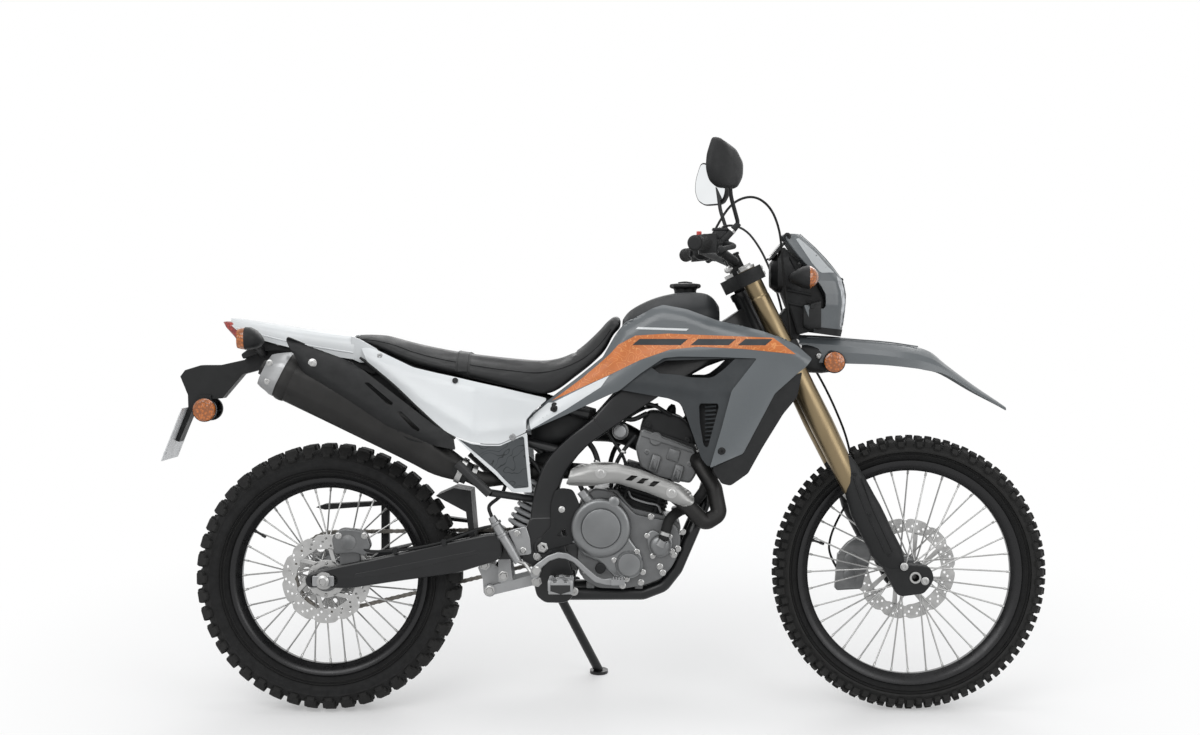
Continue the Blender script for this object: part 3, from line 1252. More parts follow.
# ---------------------------------------------------------------- tail
def arch(x, top, edge, half, wall=4.0):
    """Cross-section of a fender: an arched sheet, outer skin then inner."""
    outer = [(-half, edge), (-half + 5, top - 12), (-half * 0.6, top - 1), (0, top), (half * 0.6, top - 1),
             (half - 5, top - 12), (half, edge)]
    inner = [(y * (1 - wall / half), z - wall if abs(y) < half * 0.9 else z) for y, z in reversed(outer)]
    smooth = smooth_through([(y, z, 0) for y, z in outer], 3) + smooth_through([(y, z, 0) for y, z in inner], 3)
    return [(x, p.x, p.y) for p in smooth]


def oval_form(shape, rows, steps=28, paint=0):
    """Form along X from (x, side, height, half width, half height, squareness) sections."""
    rings = []
    for x, side, height, half_w, half_h, square in rows:
        rings.append([(x, side + half_w * c, height + half_h * s) for c, s in squared_circle(steps, square)])
    quads(shape, rings, paint=paint)


def make_tail():
    shape = bmesh.new()
    rows = smooth_rows(((-923, 982, 968, 30), (-900, 980, 950, 44), (-853, 974, 932, 60), (-760, 959, 908, 80),
                        (-682, 949, 892, 90), (-604, 940, 880, 94)), 4)
    quads(shape, [arch(*row) for row in rows])
    for side in (-1, 1):
        crease = [(-905, side * 41, 958), (-853, side * 59, 944), (-760, side * 79.5, 922), (-682, side * 89.5, 908),
                  (-606, side * 93.5, 896)]
        pipe(shape, crease, 1.8, sides=8, smooth=4)
    piece("tail_fender", shape, "frame", [WHITE_PAINT], ("rear_fender",), sharp=48)

    shape = bmesh.new()
    for side in (-1, 1):
        wedge = [(-900, 952), (-862, 944), (-800, 934), (-742, 922), (-716, 908), (-756, 898), (-800, 902),
                 (-830, 900), (-886, 880), (-891, 892), (-872, 906)]
        plate(shape, [rounded(wedge, 4, 3)], side * 30, side * 56, 2)
        bolts(shape, [(-797, side * 56, 922, (0, side, 0))], 6, 4, paint=1)
        guard = [(-604, 872), (-560, 868), (-455, 800), (-370, 716), (-400, 690), (-440, 712), (-580, 800)]
        plate(shape, [rounded(guard, 5, 3)], side * 54, side * 58, 1)
        bridge = [(-612, 938), (-590, 930), (-548, 906), (-536, 890), (-556, 870), (-590, 872), (-612, 882)]
        plate(shape, [rounded(bridge, 3, 2)], side * 86, side * 92, 1.5, paint=2)
        stay = [(-700, 905), (-640, 880), (-560, 842), (-540, 850), (-600, 884), (-690, 918)]
        plate(shape, [rounded(stay, 4, 3)], side * 60, side * 76, 2)
    piece("tail_underside", shape, "frame", [BLACK_PLASTIC, CAST_SILVER, WHITE_PAINT])

    shape = bmesh.new()
    oval_form(shape, ((-942, 0, 972, 18, 1.5, 4), (-934, 0, 966, 28, 9, 4), (-915, 0, 955, 34, 19, 4),
                             (-896, 0, 942, 36, 30, 4), (-884, 0, 936, 36, 32, 4)))
    for side in (-1, 1):
        oval_form(shape, ((-881.5, side * 140, 932, 24, 18, 3), (-880, side * 140, 932, 32, 24, 3),
                          (-870, side * 140, 932, 35, 26.5, 3), (-862, side * 140, 932, 36, 27, 3)), 32, paint=1)
        oval_form(shape, ((-862, side * 140, 932, 37, 28, 3), (-850, side * 140, 932, 37, 27.5, 2.8),
                                 (-836, side * 138, 930, 31, 22, 2.5), (-826, side * 134, 927, 20, 14, 2.2),
                                 (-820, side * 130, 925, 6, 5, 2)), 32, paint=2)
        pipe(shape, [(-846, side * 112, 926), (-842, side * 80, 908), (-840, side * 34, 894)], [10, 9, 11], sides=14,
             smooth=4, paint=2)
        for fold in range(4):
            pipe(shape, [(-846, side * (108 - 9 * fold), 924.5 - 4.5 * fold),
                         (-846, side * (104 - 9 * fold), 922.5 - 4.5 * fold)], 11.5, sides=14, paint=2)
    piece("tail_lamps", shape, "frame", [RED_LENS, AMBER_LENS, BLACK_PLASTIC], ("rear_lamps",),
          sharp=45)

    shape = bmesh.new()
    fall = (Vector((-1062, 0, 676)) - Vector((-1029, 0, 760))).normalized()
    face = Vector(TO_LEFT).cross(fall).normalized()
    centre = Vector((-1029, 0, 760)) + fall * 72
    for y, down in ((-73, -50), (73, -50), (-73, 50), (73, 50)):
        spot = centre + Vector((0, y, 0)) + fall * down + face * 1.5
        bolts(shape, [(*spot, tuple(face))], 4.5, 4, socket=False)
    border = [centre + Vector((0, y, 0)) + fall * d + face * 2.0 for y, d in
              ((-84, -65), (84, -65), (84, 65), (-84, 65))]
    pipe(shape, rounded(border, 8, 3), 1.2, sides=8, closed=True)
    piece("plate_screws", shape, "frame", [BRIGHT_STEEL])

    shape = bmesh.new()
    for side in (-1, 1):
        turned(shape, [(27, side * 40), (28.5, side * 44), (28.5, side * 47), (26, side * 49.5), (8, side * 51)],
               (-985, 0, 753), sides=48)
        turned(shape, [(30, side * 34), (30, side * 43), (27, side * 43.5)], (-985, 0, 753), sides=48, paint=1)
    piece("plate_reflectors", shape, "frame", [AMBER_LENS, BLACK_PLASTIC])


make_tail()


# ---------------------------------------------------------------- silencer
SILENCER_RISE = math.radians(27)
SILENCER_SIDE = -142.0


def silencer_rings(rows):
    """Rings across the silencer's run: (x, z, half height, half width)."""
    up = Vector((math.sin(SILENCER_RISE), 0, math.cos(SILENCER_RISE)))
    rings = []
    for x, z, high, wide in rows:
        corner = [(0.42 * wide, high), (wide, 0.5 * high), (wide, -0.5 * high), (0.42 * wide, -high),
                  (-0.42 * wide, -high), (-wide, -0.5 * high), (-wide, 0.5 * high), (-0.42 * wide, high)]
        rim = rounded(corner, high * 0.22, 5)
        rings.append([Vector((x, SILENCER_SIDE + p[0], z)) + up * p[1] for p in rim])
    return rings


def make_silencer():
    shape = bmesh.new()
    rows = smooth_rows(((-772, 844, 57, 47), (-657, 789, 57, 48), (-522, 718, 52, 46), (-440, 671, 46, 42),
                        (-383, 633, 38, 34), (-322, 603, 24, 23)), 4)
    quads(shape, silencer_rings(rows))
    quads(shape, silencer_rings(((-766, 841, 58, 48), (-760, 838, 59.5, 49.5), (-752, 834, 59.5, 49.5),
                                 (-746, 831, 58, 48))))
    pipe(shape, [(-352, SILENCER_SIDE, 618), (-316, SILENCER_SIDE, 600)], [30, 27], sides=28, paint=1)
    pipe(shape, [(-340, SILENCER_SIDE, 612), (-328, SILENCER_SIDE, 606)], 33, sides=28, paint=2)
    bolts(shape, [(-334, -174, 609, TO_RIGHT)], 6, 8, paint=2)
    piece("silencer_body", shape, "frame", [BURNT_STEEL, BLACK_PLASTIC, BRIGHT_STEEL], ("muffler",),
          sharp=30)

    shape = bmesh.new()
    quads(shape, silencer_rings(((-770, 843, 57.5, 47.5), (-778, 847, 57.5, 47.5), (-790, 851, 52, 43),
                                 (-806, 855, 45, 37), (-814, 857, 40, 33), (-812, 856, 22, 20))))
    turned(shape, [(19, 0), (19, 14), (16, 14.5), (15, 2)], (-810, SILENCER_SIDE, 856), (-math.cos(SILENCER_RISE), 0,
           math.sin(SILENCER_RISE)), sides=36, paint=1)
    bolts(shape, [(-802, -181, 828, TO_RIGHT), (-802, -103, 828, TO_LEFT), (-797, -180, 873, TO_RIGHT)], 6, 5,
          paint=2)
    piece("silencer_cap", shape, "frame", [CAST_SILVER, BURNT_STEEL, BRIGHT_STEEL],
          ("muffler_end_cap",), sharp=30)

    shape = bmesh.new()
    outline = [(-759, 932), (-752, 934), (-711, 917), (-626, 886), (-600, 874), (-569, 854), (-400, 722), (-352, 692),
               (-345, 662), (-400, 673), (-455, 687), (-512, 716), (-597, 773), (-682, 826), (-714, 849), (-739, 897)]
    slots = [[(-566, 825), (-556, 826), (-496, 776), (-500, 770), (-512, 776)],
             [(-486, 755), (-476, 755), (-430, 712), (-436, 706), (-448, 714)]]

    def shield_side(x, z):
        low = between(((-800, 195), (-550, 195), (-430, 191), (-330, 178)), x)[0]
        rolled = roll_along([(-759, 932), (-626, 886), (-569, 854), (-400, 722), (-352, 692)], 40, x, z)
        under = roll_along([(-400, 673), (-512, 716), (-597, 773), (-714, 849), (-739, 897)], 22, x, z)
        fold = ridge_along([(-700, 858), (-600, 800), (-480, 730), (-380, 690)], 14, x, z)
        return low + 2 - 26 * rolled - 12 * under + 3 * fold

    sheet_of(shape, rounded(outline, 6, 3), shield_side, 3.0, grid=8.0, sides=(-1,),
             holes=[rounded(s, 2, 2) for s in slots])
    bolts(shape, [(-690, -shield_side(-690, 873), 873, TO_RIGHT)], 8, 5, paint=1)
    piece("silencer_shield", shape, "frame", [SOFT_BLACK, BRIGHT_STEEL], ("muffler_shield",),
          bevel=0.7)


make_silencer()


# ---------------------------------------------------------------- fork
FORK_UP = Vector((-math.sin(RAKE), 0, math.cos(RAKE)))
FORK_AHEAD = Vector((math.cos(RAKE), 0, math.sin(RAKE)))
STEER_BASE = FRONT_AXLE - FORK_AHEAD * 72.0


def on_fork(height, ahead=0.0, side=0.0):
    """Point at a height up the steering axis, ahead of it and to one side."""
    return STEER_BASE + FORK_UP * height + FORK_AHEAD * ahead + Vector((0, side, 0))


def stacked(shape, rows, paint=0, steps=28, square=3.0):
    """Upright form from level rounded sections: (height, rear, front, side, half width)."""
    rings = []
    for z, rear, front, side, half in rows:
        rings.append([((rear + front) / 2 + (front - rear) / 2 * c, side + half * s, z)
                      for c, s in squared_circle(steps, square)])
    quads(shape, rings, paint=paint)


def slab(shape, centre, along, across, outline, thick, edge=0.8, paint=0):
    """Rounded plate in any plane; it rises from its centre along x across."""
    along, across = Vector(along).normalized(), Vector(across).normalized()
    rise = along.cross(across).normalized()
    rings = []
    for shrink, high in ((0.0, 0.0), (0.0, thick - edge), (edge * 0.4, thick - edge * 0.3), (edge, thick)):
        ring = []
        for p in outline:
            length = math.hypot(p[0], p[1])
            k = (length - shrink) / length
            ring.append(Vector(centre) + along * p[0] * k + across * p[1] * k + rise * high)
        rings.append(ring)
    quads(shape, rings, paint=paint)


def make_fork():
    shape = bmesh.new()
    for side in (-1, 1):
        leg = on_fork(0, 32, side * LEG_SPREAD)
        turned(shape, [(24, 256), (26.2, 262), (27.5, 330), (29.4, 420), (29.6, 440), (28.2, 520), (26.8, 600),
                       (25.4, 640), (24.6, 690), (24.2, 785), (24.2, 786), (23.4, 787.5), (23.4, 792), (23.8, 793),
                       (23.6, 860), (21, 861)], leg, FORK_UP, sides=56)
        turned(shape, [(20, 858), (22.5, 862), (22.5, 868), (17, 869), (16, 874), (9, 874.5), (8, 871)], leg, FORK_UP,
               sides=40, paint=1)
        turned(shape, [(25.6, 604), (28.4, 606), (28.4, 616), (25.6, 618)], leg, FORK_UP, sides=48, paint=2)
    piece("fork_tubes", shape, "steering", [GOLD_TUBE, BRIGHT_STEEL, BLACK_PLASTIC], ("fork_uppers",),
          sharp=30)

    shape = bmesh.new()
    for side in (-1, 1):
        stacked(shape, [(368, 700, 750, side * 103, 24), (376, 690, 757, side * 103, 26),
                        (398, 671, 753, side * 103, 27), (413, 665, 749, side * 103, 27),
                        (455, 643, 727, side * 103, 27.5), (498, 622, 707, side * 103, 28),
                        (524, 615, 694, side * 103, 28), (548, 609, 680, side * 103, 27),
                        (590, 603, 657, side * 103, 24), (625, 603, 636, side * 103, 18),
                        (643, 606, 622, side * 103, 11)], steps=36)
        for shift in (-9, 11):
            run = [(x + shift, side * 131, z) for x, z in ((636, 590), (650, 548), (664, 510), (690, 455),
                                                           (712, 408))]
            pipe(shape, run, 1.6, sides=8, smooth=4)
        hull = [(700, 370), (718, 335), (735, 302), (748, 298), (800, 305), (815, 322), (825, 340), (822, 356),
                (815, 370), (790, 374), (755, 376), (730, 386), (706, 384)]
        plate(shape, [rounded(hull, 7, 4), circle(FRONT_AXLE.x, FRONT_AXLE.z, 9, 40)], side * 74, side * 125, 3,
              paint=1)
        turned(shape, [(9.5, side * 122), (9.5, side * 128.5), (14, side * 128.5), (15, side * 127),
                       (15, side * 122)], FRONT_AXLE, sides=40, paint=2, closed=True)
        bolts(shape, [(751, side * 130, 372, (0, side, 0)), (803, side * 125, 336, (0, side, 0))], 7.5, 6, paint=2)
        bolts(shape, [(630, side * 127, 600, (0, side, 0)), (666, side * 130, 500, (0, side, 0)),
                      (714, side * 129.5, 402, (0, side, 0))], 4.5, 3, paint=1)
    pipe(shape, [(779, -72, 344.2), (779, 72, 344.2)], 10, sides=24, paint=2)
    piece("fork_shoes", shape, "steering", [BLACK_PLASTIC, SOFT_BLACK, BRIGHT_STEEL],
          ("fork_lowers",), bevel=0.4)

    shape = bmesh.new()
    for height, thick, top in ((826, 34, True), (624, 33, False)):
        for side in (-1, 1):
            turned(shape, [(25, 0), (33, 0), (34.5, 1.5), (34.5, thick - 1.5), (33, thick), (25, thick)],
                   on_fork(height, 32, side * LEG_SPREAD), FORK_UP, sides=44, closed=True)
            for level in (0.3, 0.72):
                spot = on_fork(height + thick * level, 66, side * (LEG_SPREAD - 24))
                bolts(shape, [(*spot, (0, -side, 0)), (*(spot + Vector((0, side * 18, 0))), (0, side, 0))], 5, 6,
                      paint=1)
        if top:
            turned(shape, [(17, 0), (21, 1), (21, 9), (16, 10), (15, 6), (6, 5)], on_fork(height + thick), FORK_UP,
                   sides=6, paint=1)
    piece("clamp_details", shape, "steering", [SOFT_BLACK, BRIGHT_STEEL], sharp=30)


def make_front_fender():
    shape = bmesh.new()
    rows = smooth_rows(((496, 941, 921, 905, 873, 50), (560, 938, 917, 901, 871, 60), (611, 934, 912, 897, 869, 66),
                        (700, 925, 902, 890, 866, 72), (780, 914, 895, 879, 858, 72), (830, 899, 880, 868, 850, 69),
                        (869, 868, 856, 849, 839, 62), (939, 816, 808, 804, 797, 44), (1000, 775, 770, 768, 764, 19),
                        (1024, 758, 755, 753, 750, 7)), 4)
    rings = []
    for x, top, ridge, low, edge, half in rows:
        w = max(half, 4)
        skin = [(-w, edge), (-w * 0.97, low), (-w * 0.84, ridge), (-w * 0.6, ridge + (top - ridge) * 0.55),
                (-w * 0.3, top - 1), (0, top), (w * 0.3, top - 1), (w * 0.6, ridge + (top - ridge) * 0.55),
                (w * 0.84, ridge), (w * 0.97, low), (w, edge)]
        wall = min(3.5, (top - edge) * 0.3)
        under = [(y * (1 - wall / w), z - wall if abs(y) < 0.95 * w else z) for y, z in reversed(skin)]
        rings.append([(x, y, z) for y, z in skin + under])
    quads(shape, rings)
    for y in (-34, 34):
        pipe(shape, [(520, y, 934), (620, y * 0.9, 930), (720, y * 0.8, 922.5), (800, y * 0.7, 911)], 1.6, sides=8,
             smooth=5)
    piece("front_mudguard", shape, "steering", [GREY_PAINT], ("front_fender",), sharp=14, bevel=0.8)

    shape = bmesh.new()
    oval_form(shape, ((474, 0, 884, 40, 20, 4), (492, 0, 882, 55, 34, 5), (520, 0, 882, 60, 36, 5),
                      (556, 0, 878, 58, 34, 5), (590, 0, 868, 44, 20, 4), (604, 0, 866, 30, 10, 3)), 36)
    for side in (-1, 1):
        slab(shape, (585, side * 62, 873), (1, 0, 0), (0, 0, -side), rounded([(-26, 10), (-10, 30), (14, 26), (26, 4),
             (14, -24), (-16, -26)], 6, 3), 10)
        turned(shape, [(25, side * 66), (27.6, side * 68), (27.6, side * 78), (25.5, side * 80)], (585, 0, 873),
               sides=48)
        turned(shape, [(24, side * 74), (25.4, side * 80), (25, side * 82), (21, side * 83.5), (6, side * 84.5)],
               (585, 0, 873), sides=48, paint=1)
        bolts(shape, [(548, side * 62, 888, (0, side, 0))], 5, 4, paint=2)
    piece("mudguard_root", shape, "steering", [BLACK_PLASTIC, AMBER_LENS, BRIGHT_STEEL], bevel=0.4)


# ---------------------------------------------------------------- cowl and lamps
# columns: height, front x, rear x, half width at the front, at the rear
COWL_ROWS = ((935, 607, 536, 46, 74), (960, 610, 534, 50, 80), (1014, 617, 508, 58, 92), (1042, 618, 508, 58, 94),
             (1074, 611, 508, 57, 95), (1109, 586, 500, 52, 92), (1131, 568, 496, 48, 86), (1160, 541, 480, 42, 74),
             (1194, 504, 462, 33, 56))


def cowl_side(x, z):
    """Half width of the cowl at a side point: flared behind, turned in at the front corner."""
    front, rear, half_front, half_rear = between(COWL_ROWS, z)
    corner = front - 24
    if x <= corner:
        t = (x - rear) / (corner - rear)
        return half_rear + (half_front + 8 - half_rear) * t - 5 * math.sin(math.pi * max(0.0, min(1.0, t)))
    t = min((x - corner) / 24, 1.0)
    return half_front + 8 - 30 * t ** 1.6


def make_cowl():
    shape = bmesh.new()
    side_outline = [(464, 1193), (504, 1193), (508, 1188), (541, 1160), (568, 1131), (586, 1109), (611, 1074),
                    (617, 1042), (616, 1010), (610, 960), (606, 936), (536, 946), (535, 962), (521, 984), (509, 1012),
                    (512, 1015), (558, 1005), (564, 1010), (565, 1022), (564, 1042), (553, 1062), (541, 1077),
                    (536, 1092), (528, 1106), (514, 1118), (498, 1136), (482, 1158), (469, 1178)]
    sheet_of(shape, rounded(side_outline, 2.5, 2), cowl_side, 3.0, grid=6.0)
    front = []
    for z in (936, 950, 960):
        x, _, half, _ = between(COWL_ROWS, z)
        front.append([(x - 0.5 - 5 * (abs(y) / half) ** 3, y, z) for y in
                      [(-1 + k / 8) * (half - 21) for k in range(17)]])
    quads(shape, front, closed_round=False, caps=False)
    brow = []
    for z in (1076, 1090, 1109, 1131, 1160, 1180, 1194):
        x, _, half, _ = between(COWL_ROWS, z)
        brow.append([(x + 2.5 - 3.5 * (y / half) ** 2, y, z) for y in [(-1 + k / 8) * (half - 21)
                                                                       for k in range(17)]])
    quads(shape, brow, closed_round=False, caps=False)
    piece("cowl_skin", shape, "steering", [GREY_PAINT], ("headlight_cowl",), bevel=0.5)

    shape = bmesh.new()
    shell = [(461, 1161), (514, 1109), (540, 1078), (563, 1030), (566, 1008), (540, 988), (536, 950), (494, 940),
             (486, 968), (474, 1004), (452, 1060), (444, 1128)]
    plate(shape, [rounded(shell, 6, 3)], -56, 56, 6)
    lower = [(470, 1010), (430, 960), (436, 930), (480, 905), (500, 925), (506, 960)]
    plate(shape, [rounded(lower, 6, 3)], -40, 40, 5)
    for side in (-1, 1):
        for z in (1020, 1052, 1084):
            pipe(shape, [(470, side * 57, z), (530, side * 57, z - 12)], 4, sides=10)
        bolts(shape, [(520, side * 56, 1066, (0, side, 0)), (524, side * 56, 1024, (0, side, 0))], 6, 4)
    piece("cowl_inner", shape, "steering", [SOFT_BLACK], sharp=34)

    shape = bmesh.new()
    pale = [(492, 1180), (500, 1182), (520, 1165), (545, 1142), (570, 1112), (588, 1096), (556, 1095), (549, 1098),
            (530, 1120)]
    sheet_of(shape, rounded(pale, 2, 2), cowl_side, 0.5, grid=6.0, lift=0.6)
    band = [(536, 946), (606, 936), (610, 953), (536, 961)]
    sheet_of(shape, band, cowl_side, 0.6, grid=6.0, paint=1, lift=0.4)
    ridge = [(464, 1193), (504, 1193), (541, 1160), (586, 1109), (610, 1076)]
    for side in (-1, 1):
        pipe(shape, [(x - 2, side * (cowl_side(x - 2, z - 2) + 0.4), z - 2) for x, z in ridge[1:]], 1.4, sides=8,
             smooth=4)
    turned(shape, [(5, -34), (5, 34)], (607, 0, 1078), sides=16, paint=1)
    for side in (-1, 1):
        bolts(shape, [(470, side * 55, 1186, (0, side, 0))], 7, 5, paint=1)
    piece("cowl_trim", shape, "steering", [PALE_PAINT, BLACK_PLASTIC])

    shape = bmesh.new()
    rows = []
    for z in (958, 964, 980, 1000, 1020, 1040, 1060, 1074, 1080):
        x, _, half, _ = between(COWL_ROWS, z)
        sink = 6 if z in (958, 1080) else 0
        rows.append([(x + 3.5 - sink - 9 * (abs(y) / half) ** 2.5, y, z) for y in
                     [(-1 + k / 10) * (half - 16) for k in range(21)]])
    quads(shape, rows, closed_round=False, caps=False)
    for side in (-1, 1):
        strip = [(594, 1088), (606, 1076), (614, 1050), (616, 1016), (611, 975), (607, 958), (602, 962), (604, 990),
                 (606, 1020), (603, 1050), (596, 1068)]
        sheet_of(shape, rounded(strip, 2, 2), cowl_side, 0.8, grid=6.0, sides=(side,), lift=0.7)
    for z in (992, 1046):
        turned(shape, [(23, 0), (25, 2.5), (22, 4.5), (19, 2.5), (14, -1)], (611 if z < 1000 else 613, 0, z),
               (1, 0, 0), sides=40, paint=1)
        turned(shape, [(18, 3), (15, 5.5), (9, 7.5), (2, 8)], (611 if z < 1000 else 613, 0, z), (1, 0, 0), sides=40,
               paint=2)
    for side in (-1, 1):
        spot = side * 142
        oval_form(shape, ((515, spot, 1082, 38, 28, 2.6), (520, spot, 1082, 37, 27.5, 2.6),
                                 (529, spot, 1082, 32, 22, 2.4), (537, spot, 1082, 20, 13, 2.2),
                                 (540, spot, 1082, 4, 3, 2)), 32, paint=3)
        oval_form(shape, ((470, spot - side * 10, 1080, 6, 5, 2), (474, spot - side * 8, 1080, 16, 12, 2.2),
                                 (488, spot - side * 4, 1081, 27, 20, 2.4), (503, spot, 1082, 36, 27, 2.6),
                                 (516, spot, 1082, 39, 29, 2.6)), 32, paint=4)
        pipe(shape, [(482, side * 114, 1081), (482, side * 86, 1081), (484, side * 58, 1081)], [11, 9, 12], sides=14,
             smooth=3, paint=4)
    piece("lamp_glasses", shape, "steering", [CLEAR_LENS, CAST_SILVER, MIRROR_GLASS, AMBER_LENS, BLACK_PLASTIC],
          ("front_lamps",), sharp=40)

    shape = bmesh.new()
    slab(shape, (446, 0, 1152), (38, 0, 46), TO_RIGHT, rounded([(-28, -58), (28, -54), (28, 54), (-28, 58)], 9, 4), 5,
         paint=1)
    slab(shape, Vector((446, 0, 1152)) + Vector((-0.77, 0, 0.64)) * 5, (38, 0, 46), TO_RIGHT,
         rounded([(-19, -46), (21, -44), (21, 44), (-19, 46)], 6, 4), 1.2, paint=2)
    for y in (-8, 8):
        slab(shape, Vector((425, y * 3, 1127)) + Vector((-0.77, 0, 0.64)) * 5, (38, 0, 46), TO_RIGHT,
             circle(0, 0, 4, 12), 3, paint=1)
    oval_form(shape, ((430, 0, 1090, 40, 30, 4), (446, 0, 1095, 60, 48, 4), (474, 0, 1096, 62, 54, 4),
                      (500, 0, 1060, 58, 40, 4), (520, 0, 1030, 50, 46, 4), (536, 0, 1010, 40, 40, 4)), 36)
    for side in (-1, 1):
        pipe(shape, [(512, side * 58, 1010), (524, side * 74, 1012), (530, side * 86, 1012)], 6, sides=10, smooth=3)
        pipe(shape, [(500, side * 40, 1120), (500, side * 62, 1116), (498, side * 80, 1112)], 5, sides=10, smooth=3)
        oval_form(shape, ((508, side * 70, 985, 12, 26, 4), (520, side * 72, 985, 14, 32, 4),
                                 (552, side * 66, 990, 14, 36, 4)), 24)
    piece("instrument_case", shape, "steering", [BLACK_PLASTIC, SOFT_BLACK, DARK_GLASS],
          ("instrument",), bevel=0.3)


# ---------------------------------------------------------------- handlebar and mirrors
BAR_END = Vector((228, -410, 1155))
BAR_RUN = Vector((42, 175, 5)).normalized()
BOSS_ROOT = BAR_END + BAR_RUN * 150 + Vector((30, 0, 0))
MIRROR_FOOT = BOSS_ROOT + Vector((29, 2, 31))


def other_side(p):
    return Vector((p[0], -p[1], p[2]))


# the right hand's pieces as they are placed, and the left hand's mirrored from them
HANDS = ((-1, Vector), (1, other_side))


def make_grips():
    shape = bmesh.new()
    profile = [(11.5, 3), (16.5, 3.5), (18.5, 6), (18.5, 9), (16.4, 10)]
    along = 12.0
    while along < 112:
        profile += [(16.4, along), (17.3, along + 0.8), (17.3, along + 3.2), (16.4, along + 4)]
        along += 5.4
    profile += [(16.6, 116), (20, 118), (23, 120), (23, 123), (20, 124), (11.5, 124)]
    for _, place in HANDS:
        end, run = place(BAR_END), place(BAR_RUN)
        turned(shape, profile, end, run, sides=40, closed=True)
        turned(shape, [(4, -6), (13, -5.5), (15.5, -3), (15.5, 1), (12, 3), (4, 3)], end, run, sides=32, paint=1)
    piece("grip_sleeves", shape, "steering", [GRIP_RUBBER, SOFT_BLACK], ("grips",), sharp=32)

    shape = bmesh.new()
    for side, place in HANDS:
        end, run = place(BAR_END), place(BAR_RUN)
        turned(shape, [(11.5, 124.5), (20, 125), (22.5, 128), (23.5, 150), (22, 166), (18, 168), (11.5, 168)], end,
               run, sides=36, closed=True)
        root = end + run * 146
        box = rounded([(-22, -20), (22, -20), (26, 0), (20, 22), (-16, 22), (-24, 6)], 6, 3)
        slab(shape, root + Vector((2, side * 14, -24)), (1, 0, 0.1), TO_LEFT, box, 46, 3)
        for step in range(5):
            slab(shape, root + Vector((-24, side * (26 - 9 * step), -4)), TO_LEFT, (0, 0, -1),
                 rounded(rectangle(-3, -9, 3, 9), 1.5, 2), 3)
        lever_root = end + run * 158 + Vector((38, 0, 0))
        tip = end + Vector((62, -side * 24, -14))
        middle = lever_root + Vector((20, side * 62, -8))
        pipe(shape, [lever_root, middle, middle.lerp(tip, 0.5) + Vector((3, 0, 0)), tip], [9, 6.5, 6, 6.5], sides=14,
             smooth=5, paint=1)
        quads_ball(shape, tip, 8.5, 1)
        pipe(shape, [end + run * 146 + Vector((17, 0, 0)), lever_root + Vector((8, 0, 0))], 12.5, sides=20, paint=0)
        turned(shape, [(9, -8), (9.5, -7), (9.5, 8), (6, 9.5)], lever_root, (0, 0, 1), sides=20, paint=2)
        boss, foot_at = place(BOSS_ROOT), place(MIRROR_FOOT)
        pipe(shape, [boss, foot_at], [9.5, 8.5], sides=20)
        turned(shape, [(10, -3), (10, 3)], foot_at, (foot_at - boss), sides=6, paint=2)
    reservoir = BAR_END + BAR_RUN * 172 + Vector((26, 0, 8))
    slab(shape, reservoir, (1, 0, 0), TO_LEFT, rounded(rectangle(-17, -24, 17, 24), 6, 3), 24, 2)
    slab(shape, reservoir + Vector((0, 0, 24)), (1, 0, 0), TO_LEFT,
         rounded(rectangle(-19, -26, 19, 26), 6, 3), 5, 1.5)
    for y in (-17, 17):
        bolts(shape, [(*(reservoir + Vector((0, y, 29))), (0, 0, 1))], 3.5, 2.5, paint=2)
    switch = BAR_END + BAR_RUN * 140
    slab(shape, switch + Vector((-18, 0, 20)), (1, 0, 0), TO_LEFT, rounded(rectangle(-6, -8, 6, 8), 2, 2), 9, 1.5,
         paint=3)
    switch = other_side(switch)
    slab(shape, switch + Vector((-20, -4, 18)), (1, 0, 0), TO_LEFT, rounded(rectangle(-5, -7, 5, 7), 2, 2), 9, 1.5,
         paint=4)
    piece("bar_controls", shape, "steering", [BLACK_PLASTIC, SOFT_BLACK, BRIGHT_STEEL, RED_PLASTIC, PALE_PAINT],
          ("hand_controls",), bevel=0.4)

    shape = bmesh.new()
    for y in (-46, 46):
        for shift in (-11, 11):
            spot = on_fork(820 + 88, 17 + shift, y)
            bolts(shape, [(*spot, tuple(FORK_UP))], 5.5, 6, paint=1)
            slab(shape, on_fork(820 + 86, 17, y), FORK_AHEAD, TO_LEFT, rounded(rectangle(-20, -15, 20, 15), 4, 3),
                 6, 1.5)
        turned(shape, [(6, -17), (8, -16), (8, 16), (6, 17)], on_fork(820 + 62, -2, y), TO_LEFT, sides=24, paint=1)
    for spot in ((300, -180, 1144), (300, 180, 1144)):
        turned(shape, [(12, -3), (13.2, -2.5), (13.2, 2.5), (12, 3)], spot,
               (60, 115, -28) if spot[1] < 0 else (60, -115, -28), sides=24)
    piece("bar_clamps", shape, "steering", [SOFT_BLACK, BRIGHT_STEEL], bevel=0.4)


def quads_ball(shape, centre, radius, paint):
    turned(shape, [(radius * math.sin(math.pi * k / 12), radius * -math.cos(math.pi * k / 12)) for k in range(13)],
           centre, (0, 0, 1), sides=20, paint=paint)


